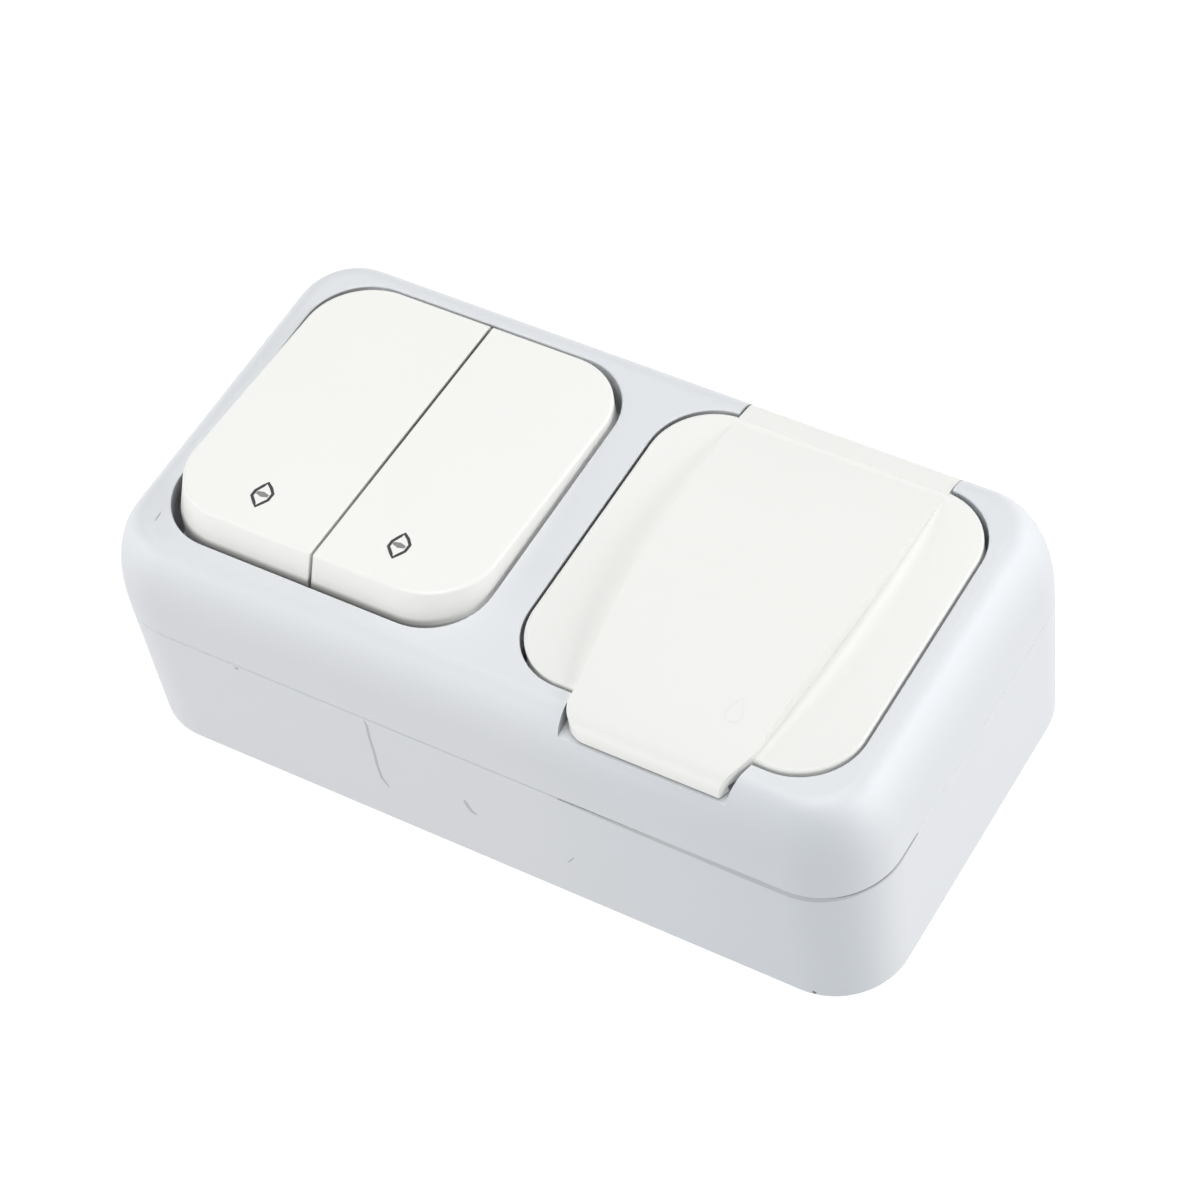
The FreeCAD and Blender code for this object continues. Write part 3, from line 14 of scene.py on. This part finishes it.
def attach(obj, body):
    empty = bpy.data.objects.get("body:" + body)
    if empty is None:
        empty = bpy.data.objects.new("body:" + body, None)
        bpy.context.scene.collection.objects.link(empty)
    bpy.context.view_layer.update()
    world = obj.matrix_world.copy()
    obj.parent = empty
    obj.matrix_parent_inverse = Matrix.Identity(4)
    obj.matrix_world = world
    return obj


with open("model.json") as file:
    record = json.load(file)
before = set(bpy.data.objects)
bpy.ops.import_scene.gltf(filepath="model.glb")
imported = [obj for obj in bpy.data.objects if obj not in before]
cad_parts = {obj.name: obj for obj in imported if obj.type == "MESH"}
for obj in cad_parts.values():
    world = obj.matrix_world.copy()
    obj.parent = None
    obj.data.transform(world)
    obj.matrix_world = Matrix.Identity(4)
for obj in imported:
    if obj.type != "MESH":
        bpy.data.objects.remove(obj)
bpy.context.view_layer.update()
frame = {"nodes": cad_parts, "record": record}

MM = 0.001

# Camera: turn, place and focal length that fit the outlines in the photo
VIEW_TURN = (2.429987, 0.602312, -0.365181)
VIEW_SHIFT_MM = (0.611015, 15.611867, 645.920895)
FOCAL_PX = 3843.72
PHOTO_PX = 1200.0
SENSOR_MM = 36.0
CLIP_START = 0.01

# Colours, linear
GREY_SHELL = (0.690, 0.708, 0.735)
# painted light: the shoulder's paler grey
SHOULDER_PAINTED_LIGHT = (0.745, 0.765, 0.794)
# painted shade: the deeper grey at the near right end
NEAR_END_PAINTED_SHADE = (0.628, 0.664, 0.705)
WARM_WHITE = (0.850, 0.855, 0.828)
# painted light: the paler white of the keys' upright faces
KEY_SIDE_PAINTED_LIGHT = (0.985, 0.985, 0.955)
LID_WHITE = (0.822, 0.827, 0.802)
# painted shade: the lid's deeper white towards the lip
LID_NEAR_PAINTED_SHADE = (0.764, 0.769, 0.746)
# painted light: the lid's paler white on slopes and the lip's front
LID_SLOPE_PAINTED_LIGHT = (0.909, 0.915, 0.888)
INNER_WHITE = (0.62, 0.62, 0.60)
SEAL_BLACK = (0.022, 0.022, 0.024)
GROMMET_GREY = (0.30, 0.315, 0.335)
STEEL = (0.60, 0.60, 0.585)
BRASS = (0.72, 0.55, 0.25)
INK = (0.05, 0.05, 0.055)
INK_SOFT = (0.24, 0.24, 0.245)
MARK_DARK = (0.16, 0.165, 0.18)
MARK_SOFT = (0.40, 0.41, 0.43)
SEAM_SHADE = (0.50, 0.515, 0.54)
RELIEF_SHADE = (0.755, 0.76, 0.735)
# painted shade: near black in narrow gaps
PAINTED_GAP_SHADE = (0.02, 0.02, 0.02)

# Mottle, gloss and grain that every finish has
MOTTLE_SCALE = 45.0
MOTTLE_DETAIL = 3.0
GLOSS_SPREAD = 0.04
GRAIN_SCALE = 900.0
GRAIN_DETAIL = 2.0
GRAIN_HEIGHT = 0.2 * MM

# Painted shade in narrow gaps: how far the sky is looked for, and the open shares where it ends
GAP_REACH = 2.5 * MM
GAP_SAMPLES = 4
SPLIT_OPEN = 0.36
SHELL_OPEN = 0.80

# Keys: painted light on upright faces, painted shade in the split and low on their near side
KEY_UPRIGHT = (0.15, 0.95)
SPLIT_X = -33.15 * MM
SPLIT_HALF = 1.5 * MM
SPLIT_CORE = 0.8
SPLIT_Y = (-20.0 * MM, -2.0 * MM)
SPLIT_SHARES = (0.55, 0.95)
NEAR_SIDE_Y = (-28.5 * MM, -22.0 * MM)
NEAR_SIDE_Z = (45.5 * MM, 46.2 * MM)
NEAR_SIDE_SHARE = 0.62

# Lid: painted shade towards the near end, and painted light on slopes by the upward part
# of their normal
LID_Y = (-34.0 * MM, 12.0 * MM)
LID_SLOPE = (0.60, 0.965)

# Box: painted light on the shoulder and painted shade on the opening walls, both by parts of
# their normal, and painted shade at the near right end
SHOULDER_RISE = (0.15, 0.50)
SHOULDER_FALL = (0.70, 0.95)
NEAR_FACING = (-0.70, -0.25)
NEAR_END_X = (10.0 * MM, 60.0 * MM)
NEAR_END_Z = (27.0 * MM, 31.0 * MM)
NEAR_END_ABOVE = 0.9
RIGHT_FACING = (0.30, 0.80)
OPENING_Z = (31.0 * MM, 32.0 * MM)
OPENING_SHARE = 0.90


# Materials
def ramp(nodes, links, value, span, at_low, at_high):
    """Output that runs from at_low to at_high while value runs through the span."""
    step = nodes.new("ShaderNodeMapRange")
    step.inputs["From Min"].default_value = span[0]
    step.inputs["From Max"].default_value = span[1]
    step.inputs["To Min"].default_value = at_low
    step.inputs["To Max"].default_value = at_high
    links.new(value, step.inputs["Value"])
    return step.outputs["Result"]


def combine(nodes, links, operation, first, second):
    """Output of one arithmetic step on two outputs, or on an output and a number."""
    step = nodes.new("ShaderNodeMath")
    step.operation = operation
    for socket, value in zip(step.inputs, (first, second)):
        if isinstance(value, float):
            socket.default_value = value
        else:
            links.new(value, socket)
    return step.outputs["Value"]


def parts(nodes, links, vector):
    """Outputs named X, Y and Z for a vector output."""
    split = nodes.new("ShaderNodeSeparateXYZ")
    links.new(vector, split.inputs["Vector"])
    return split.outputs


def mixed(nodes, links, share, paint, colour):
    """Colour that goes from paint to another colour by a share from 0 to 1."""
    blend = nodes.new("ShaderNodeMix")
    blend.data_type = "RGBA"
    links.new(share, blend.inputs["Factor"])
    links.new(paint, blend.inputs["A"])
    blend.inputs["B"].default_value = (*colour, 1.0)
    return blend.outputs["Result"]


def closeness(nodes, links, open_at):
    """Output that is 1 deep in a narrow gap and 0 where the sky share reaches open_at."""
    sky = nodes.new("ShaderNodeAmbientOcclusion")
    sky.samples = GAP_SAMPLES
    sky.inputs["Distance"].default_value = GAP_REACH
    return ramp(nodes, links, sky.outputs["AO"], (0.0, open_at), 1.0, 0.0)


def key_colour(nodes, links, place, paint):
    """Colour of the keys: painted light makes the upright faces paler, and painted shade darkens
    the split between them and the low part of their near side."""
    facing = parts(nodes, links, place.outputs["Normal"])
    upright = ramp(nodes, links, facing["Z"], KEY_UPRIGHT, 1.0, 0.0)
    painted_light = mixed(nodes, links, upright, paint, KEY_SIDE_PAINTED_LIGHT)
    spot = parts(nodes, links, place.outputs["Object"])
    across = combine(nodes, links, "SUBTRACT", spot["X"], SPLIT_X)
    aside = combine(nodes, links, "ABSOLUTE", across, 0.0)
    in_split = ramp(nodes, links, aside, (SPLIT_CORE * SPLIT_HALF, SPLIT_HALF), 1.0, 0.0)
    closed = combine(nodes, links, "MULTIPLY", in_split, closeness(nodes, links, SPLIT_OPEN))
    depth = ramp(nodes, links, spot["Y"], SPLIT_Y, *SPLIT_SHARES)
    at_split = combine(nodes, links, "MULTIPLY", closed, depth)
    near = ramp(nodes, links, spot["Y"], NEAR_SIDE_Y, NEAR_SIDE_SHARE, 0.0)
    low = ramp(nodes, links, spot["Z"], NEAR_SIDE_Z, 1.0, 0.0)
    at_rim = combine(nodes, links, "MULTIPLY", near, low)
    dark = combine(nodes, links, "MAXIMUM", at_split, at_rim)
    return mixed(nodes, links, dark, painted_light, PAINTED_GAP_SHADE)


def lid_colour(nodes, links, place, paint):
    """Colour of the lid: painted shade makes it a little deeper towards the lip, and painted
    light makes it paler on slopes and the lip's front.
    """
    spot = parts(nodes, links, place.outputs["Object"])
    near = ramp(nodes, links, spot["Y"], LID_Y, 1.0, 0.0)
    painted_shade = mixed(nodes, links, near, paint, LID_NEAR_PAINTED_SHADE)
    facing = parts(nodes, links, place.outputs["Normal"])
    sloping = ramp(nodes, links, facing["Z"], LID_SLOPE, 1.0, 0.0)
    return mixed(nodes, links, sloping, painted_shade, LID_SLOPE_PAINTED_LIGHT)


def shell_colour(nodes, links, place, paint):
    """Colour of the box: painted light makes the shoulder paler, and painted shade makes it
    deeper at the near right end and dark on the walls of the openings that face right."""
    facing = parts(nodes, links, place.outputs["Normal"])
    spot = parts(nodes, links, place.outputs["Object"])
    rising = ramp(nodes, links, facing["Z"], SHOULDER_RISE, 0.0, 1.0)
    falling = ramp(nodes, links, facing["Z"], SHOULDER_FALL, 1.0, 0.0)
    shoulder = combine(nodes, links, "MULTIPLY", rising, falling)
    painted_light = mixed(nodes, links, shoulder, paint, SHOULDER_PAINTED_LIGHT)
    near = ramp(nodes, links, facing["Y"], NEAR_FACING, 1.0, 0.0)
    right = ramp(nodes, links, spot["X"], NEAR_END_X, 0.0, 1.0)
    low = ramp(nodes, links, spot["Z"], NEAR_END_Z, 1.0, NEAR_END_ABOVE)
    at_end = combine(nodes, links, "MULTIPLY", near, right)
    at_end = combine(nodes, links, "MULTIPLY", at_end, low)
    painted_shade = mixed(nodes, links, at_end, painted_light, NEAR_END_PAINTED_SHADE)
    walls = ramp(nodes, links, facing["X"], RIGHT_FACING, 0.0, OPENING_SHARE)
    above = ramp(nodes, links, spot["Z"], OPENING_Z, 0.0, 1.0)
    closed = combine(nodes, links, "MULTIPLY", above, closeness(nodes, links, SHELL_OPEN))
    dark = combine(nodes, links, "MULTIPLY", walls, closed)
    return mixed(nodes, links, dark, painted_shade, PAINTED_GAP_SHADE)


def surface(name, colour, roughness, mottle, grain, metal=0.0, extra=None):
    """Procedural finish: slightly mottled colour and roughness with a fine grain.

    extra changes the colour further, from the nodes, links, coordinates and colour so far.
    """
    mat = bpy.data.materials.new(name)
    mat.use_nodes = True
    nodes, links = mat.node_tree.nodes, mat.node_tree.links
    shader = nodes["Principled BSDF"]
    shader.inputs["Metallic"].default_value = metal
    place = nodes.new("ShaderNodeTexCoord")
    cloud = nodes.new("ShaderNodeTexNoise")
    cloud.inputs["Scale"].default_value = MOTTLE_SCALE
    cloud.inputs["Detail"].default_value = MOTTLE_DETAIL
    links.new(place.outputs["Object"], cloud.inputs["Vector"])
    blend = nodes.new("ShaderNodeMix")
    blend.data_type = "RGBA"
    low = tuple(c * (1.0 - mottle) for c in colour)
    high = tuple(min(1.0, c * (1.0 + mottle)) for c in colour)
    blend.inputs["A"].default_value = (*low, 1.0)
    blend.inputs["B"].default_value = (*high, 1.0)
    links.new(cloud.outputs["Fac"], blend.inputs["Factor"])
    paint = blend.outputs["Result"]
    if extra:
        paint = extra(nodes, links, place, paint)
    links.new(paint, shader.inputs["Base Color"])
    gloss = nodes.new("ShaderNodeMapRange")
    gloss.inputs["To Min"].default_value = roughness - GLOSS_SPREAD
    gloss.inputs["To Max"].default_value = roughness + GLOSS_SPREAD
    links.new(cloud.outputs["Fac"], gloss.inputs["Value"])
    links.new(gloss.outputs["Result"], shader.inputs["Roughness"])
    fine = nodes.new("ShaderNodeTexNoise")
    fine.inputs["Scale"].default_value = GRAIN_SCALE
    fine.inputs["Detail"].default_value = GRAIN_DETAIL
    links.new(place.outputs["Object"], fine.inputs["Vector"])
    bump = nodes.new("ShaderNodeBump")
    bump.inputs["Strength"].default_value = grain
    bump.inputs["Distance"].default_value = GRAIN_HEIGHT
    links.new(fine.outputs["Fac"], bump.inputs["Height"])
    links.new(bump.outputs["Normal"], shader.inputs["Normal"])
    return mat


# Finish of each material slot: colour, roughness, mottle, grain, metal, further colour change
# with painted light and shade
FINISH_TABLE = {
    "grey_shell": (GREY_SHELL, 0.46, 0.012, 0.10, 0.0, shell_colour),
    "white_key": (WARM_WHITE, 0.38, 0.006, 0.04, 0.0, key_colour),
    "white_lid": (LID_WHITE, 0.40, 0.006, 0.04, 0.0, lid_colour),
    "white_insert": (WARM_WHITE, 0.36, 0.008, 0.04),
    "mechanism_plastic": (INNER_WHITE, 0.50, 0.02, 0.08),
    "seal_rubber": (SEAL_BLACK, 0.75, 0.10, 0.15),
    "grommet_rubber": (GROMMET_GREY, 0.68, 0.05, 0.15),
    "screw_steel": (STEEL, 0.34, 0.05, 0.05, 1.0),
    "spring_steel": (STEEL, 0.28, 0.05, 0.03, 1.0),
    "earth_steel": (STEEL, 0.30, 0.04, 0.03, 1.0),
    "contact_brass": (BRASS, 0.30, 0.06, 0.04, 1.0),
    "printed_ink": (INK, 0.55, 0.15, 0.02),
    "printed_ink_soft": (INK_SOFT, 0.55, 0.15, 0.02),
    "scratch_dark": (MARK_DARK, 0.60, 0.20, 0.02),
    "scratch_soft": (MARK_SOFT, 0.60, 0.10, 0.02),
    "seam_shade": (SEAM_SHADE, 0.60, 0.06, 0.02),
    "relief_white": (RELIEF_SHADE, 0.45, 0.02, 0.02),
}
FINISHES = {name: surface(name, *row) for name, row in FINISH_TABLE.items()}

for row in frame["record"]["subparts"]:
    piece = frame["nodes"][row["node"]]
    piece.data.materials.clear()
    piece.data.materials.append(FINISHES[row["material_slot"]])


# Strips that lie on a surface
STRIP_STEP = 0.8 * MM
STRIP_PROUD = 0.03 * MM
STRIP_SINK = 0.05 * MM
STROKE_END = 0.45
ABOVE = 0.070
DOWN = (0, 0, -1)


def landing(node, point, direction):
    """Place and normal where a line from point meets a CAD node, in the row frame."""
    piece = frame["nodes"][node]
    turn = piece.matrix_world.inverted()
    start = turn @ Vector(point)
    heading = (turn.to_3x3() @ Vector(direction)).normalized()
    hit, where, normal, _ = piece.ray_cast(start, heading)
    if not hit:
        raise RuntimeError("no surface under " + repr(point))
    return piece.matrix_world @ where, (piece.matrix_world.to_3x3() @ normal).normalized()


def along(points):
    """Evenly spaced spots on a path through the points."""
    spots = []
    for a, b in zip(points, points[1:]):
        a, b = Vector(a), Vector(b)
        count = max(1, int((b - a).length / STRIP_STEP))
        spots += [a.lerp(b, i / count) for i in range(count)]
    spots.append(Vector(points[-1]))
    return spots


def over(centre, points):
    """Points above the object, from millimetres beside a centre in millimetres."""
    return [((centre[0] + x) * MM, (centre[1] + y) * MM, ABOVE) for x, y in points]


def piece_of(name, verts, faces, finish, body):
    """Mesh object that rides on a body."""
    mesh = bpy.data.meshes.new(name)
    mesh.from_pydata([tuple(v) for v in verts], [], faces)
    mesh.update()
    mesh.materials.append(FINISHES[finish])
    piece = bpy.data.objects.new(name, mesh)
    bpy.context.scene.collection.objects.link(piece)
    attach(piece, body)
    return piece


def ribbon(name, ground, widths, finish, body, closed=False):
    """Thin strip over (place, normal) pairs, with one width for each, open or a closed ring."""
    count = len(ground)
    verts, faces = [], []
    for i, (where, normal) in enumerate(ground):
        back = ground[i - 1 if closed else max(0, i - 1)][0]
        ahead = ground[(i + 1) % count if closed else min(count - 1, i + 1)][0]
        side = (ahead - back).normalized().cross(normal).normalized() * widths[i] / 2
        for lift in (STRIP_PROUD, -STRIP_SINK):
            verts.append(where + side + normal * lift)
            verts.append(where - side + normal * lift)
    for i in range(count if closed else count - 1):
        a, b = 4 * i, 4 * ((i + 1) % count)
        faces += [(a, a + 1, b + 1, b), (a + 2, b + 2, b + 3, a + 3)]
        faces += [(a, b, b + 2, a + 2), (a + 1, a + 3, b + 3, b + 1)]
    if not closed:
        last = 4 * (count - 1)
        faces += [(0, 2, 3, 1), (last, last + 1, last + 3, last + 2)]
    return piece_of(name, verts, faces, finish, body)


def stroke(name, node, points, direction, width, finish, body):
    """Strip that follows a node's surface under a path, narrower at both ends."""
    ground = [landing(node, spot, direction) for spot in along(points)]
    widths = [width] * len(ground)
    if len(ground) > 2:
        widths[0] = widths[-1] = STROKE_END * width
    return ribbon(name, ground, widths, finish, body)


def ring(name, node, points, width, finish, body):
    """Closed strip on a node's upper surface under a path."""
    ground = [landing(node, spot, DOWN) for spot in along(points + points[:1])[:-1]]
    return ribbon(name, ground, [width] * len(ground), finish, body, closed=True)


# Small plain pictograms printed on the keys: a slanting frame of seven sides with a short bar
SIGN_FRAME = (
    (-0.52, 2.60), (0.60, 1.84), (1.50, 0.88), (1.50, -0.64), (0.38, -2.60), (-1.46, -0.82),
    (-1.50, 0.38),
)
SIGN_BAR = ((-1.15, 0.10), (0.0, 0.08), (1.05, 0.12))
SIGN_LINE = 0.54 * MM
BAR_LINE = 1.15 * MM
SIGN_CENTRES = {"left": (-46.0, -18.9), "right": (-20.15, -18.45)}
for side, centre in SIGN_CENTRES.items():
    key = "rocker_" + side
    sign = "sign_" + side
    body = key + "_body"
    ring(sign + "_frame", key, over(centre, SIGN_FRAME), SIGN_LINE, "printed_ink", body)
    bar = over(centre, SIGN_BAR)
    stroke(sign + "_bar", key, bar, DOWN, BAR_LINE, "printed_ink_soft", body)

# Faint plain drop, the general sign for splash protection, near the lip of the lid; its relief
# is drawn as a line of painted shade
DROP = (
    (0.0, 2.40), (0.72, 1.00), (1.25, 0.05), (1.42, -0.75), (1.15, -1.50), (0.55, -1.98),
    (-0.55, -1.98), (-1.15, -1.50), (-1.42, -0.75), (-1.25, 0.05), (-0.72, 1.00),
)
DROP_CENTRE = (43.1, -23.0)
DROP_LINE = 0.32 * MM
ring("relief_drop", "lid", over(DROP_CENTRE, DROP), DROP_LINE, "relief_white", "lid_body")

# Wear, and a darker dot by the groove, on the near wall of the box: width, finish and (x, z)
# places, in millimetres
NEAR = -0.060
INWARD = (0, 1, 0)
WALL_MARKS = {
    "hairline": (
        0.48,
        "seam_shade",
        (
            (-18.6, 28.3), (-18.4, 27.1), (-18.6, 23.2), (-18.5, 19.5), (-18.7, 15.9),
            (-18.5, 12.2), (-17.5, 10.1),
        ),
    ),
    "nick": (
        0.72,
        "seam_shade",
        ((-1.95, 16.1), (-1.7, 15.3), (-1.4, 14.3), (-0.9, 13.5), (-0.2, 13.0)),
    ),
    "rub": (0.30, "seam_shade", ((16.5, 10.0), (18.0, 12.4))),
    "dot_by_groove": (0.50, "scratch_soft", ((-43.7, 28.2), (-43.1, 28.1))),
    "chip": (0.55, "scratch_dark", ((60.0, 1.3), (60.4, 0.9))),
}
for name, (width, finish, places) in WALL_MARKS.items():
    path = [(x * MM, NEAR, z * MM) for x, z in places]
    stroke(name, "base_box", path, INWARD, width * MM, finish, "housing")

# Short scratch on the shoulder at the near left
SCRATCH_LINE = 0.26 * MM
scratch = over((0.0, 0.0), ((-61.36, -28.66), (-61.52, -26.67)))
stroke("shoulder_scratch", "front_cover", scratch, DOWN, SCRATCH_LINE, "scratch_soft", "housing")

# Shade in the groove between box and cover, darker towards the near right corner
HALF_LENGTH = 71.0 * MM
HALF_WIDTH = 38.0 * MM
WALL_CORNER = 13.2 * MM
CORNER_STEPS = 24
SEAM_Z = 28.7 * MM
SEAM_START = 17.4 * MM
SEAM_END = -19.5 * MM
SEAM_WIDTHS = (
    (0.0, 0.12), (0.08, 0.55), (0.30, 0.95), (0.55, 1.30), (0.68, 1.15), (0.78, 0.50),
    (0.84, 0.35), (0.90, 0.60), (1.0, 0.12),
)


def seam_ground():
    """Places and outward normals along the seam, from the near wall round to the right one."""
    cx, cy = HALF_LENGTH - WALL_CORNER, WALL_CORNER - HALF_WIDTH
    near_wall = [(SEAM_START, -HALF_WIDTH, SEAM_Z), (cx, -HALF_WIDTH, SEAM_Z)]
    ground = [(spot, Vector((0, -1, 0))) for spot in along(near_wall)]
    for step in range(1, CORNER_STEPS):
        turn = math.radians(-90 + 90 * step / CORNER_STEPS)
        out = Vector((math.cos(turn), math.sin(turn), 0))
        ground.append((Vector((cx, cy, SEAM_Z)) + out * WALL_CORNER, out))
    right_wall = [(HALF_LENGTH, cy, SEAM_Z), (HALF_LENGTH, SEAM_END, SEAM_Z)]
    return ground + [(spot, Vector((1, 0, 0))) for spot in along(right_wall)]


def between(table, share):
    """Value of a (share, value) table at one share, straight between its rows."""
    for (a, low), (b, high) in zip(table, table[1:]):
        if share <= b:
            return low + (high - low) * (share - a) / (b - a)
    return table[-1][1]


ground = seam_ground()
widths = [between(SEAM_WIDTHS, i / (len(ground) - 1)) * MM for i in range(len(ground))]
ribbon("seam_shade", ground, widths, "seam_shade", "housing")

# Floor
FLOOR_SIZE = 6.0
FLOOR_DROP = 0.2 * MM
FLOOR_INPUTS = {
    "Base Color": (0.10, 0.10, 0.10, 1.0),
    "Roughness": 0.9,
    "Emission Color": (1.0, 1.0, 1.0, 1.0),
    "Emission Strength": 0.96,
}
floor_mat = bpy.data.materials.new("floor")
floor_mat.use_nodes = True
for socket, value in FLOOR_INPUTS.items():
    floor_mat.node_tree.nodes["Principled BSDF"].inputs[socket].default_value = value
bpy.ops.mesh.primitive_plane_add(size=FLOOR_SIZE, location=(0, 0, -FLOOR_DROP))
floor = bpy.context.object
floor.name = "floor"
floor.data.materials.append(floor_mat)

# Studio light: name, turn and rise in degrees, distance and size in metres, and watts
LIGHT_TARGET = Vector((0.0, 0.0, 0.02))
SOFTBOXES = (
    ("near_left_box", -143.0, 22.0, 1.25, (0.9, 0.5), 4.7),
    ("right_box", 10.0, 22.0, 1.25, (0.9, 0.5), 4.0),
    ("far_right_box", 45.0, 20.0, 1.25, (0.9, 0.5), 3.3),
    ("top_box", 0.0, 90.0, 1.3, (1.1, 1.1), 12.5),
)
WORLD_STRENGTH = 0.25


def softbox(name, turn, rise, distance, size, power):
    """Area light that faces the object."""
    turn, rise = math.radians(turn), math.radians(rise)
    flat = math.cos(rise)
    heading = Vector((flat * math.cos(turn), flat * math.sin(turn), math.sin(rise)))
    light = bpy.data.lights.new(name, "AREA")
    light.shape = "RECTANGLE"
    light.size, light.size_y = size
    light.energy = power
    lamp = bpy.data.objects.new(name, light)
    bpy.context.scene.collection.objects.link(lamp)
    lamp.location = LIGHT_TARGET + heading * distance
    lamp.rotation_euler = (-heading).to_track_quat("-Z", "Y").to_euler()


for row in SOFTBOXES:
    softbox(*row)

world = bpy.data.worlds.new("studio")
world.use_nodes = True
background = world.node_tree.nodes["Background"]
background.inputs["Color"].default_value = (1.0, 1.0, 1.0, 1.0)
background.inputs["Strength"].default_value = WORLD_STRENGTH
bpy.context.scene.world = world

# Camera
turn = Vector(VIEW_TURN)
to_camera = Matrix.Rotation(turn.length, 3, turn.normalized())
place = -(to_camera.transposed() @ Vector(VIEW_SHIFT_MM)) * MM
camera_data = bpy.data.cameras.new("camera")
camera_data.lens = FOCAL_PX * SENSOR_MM / PHOTO_PX
camera_data.sensor_width = SENSOR_MM
camera_data.clip_start = CLIP_START
camera = bpy.data.objects.new("camera", camera_data)
bpy.context.scene.collection.objects.link(camera)
columns = (to_camera[0], -to_camera[1], -to_camera[2])
camera.matrix_world = Matrix.Translation(place) @ Matrix(columns).transposed().to_4x4()
bpy.context.scene.camera = camera

bpy.context.scene.view_settings.view_transform = "Standard"
bpy.context.scene.view_settings.look = "None"
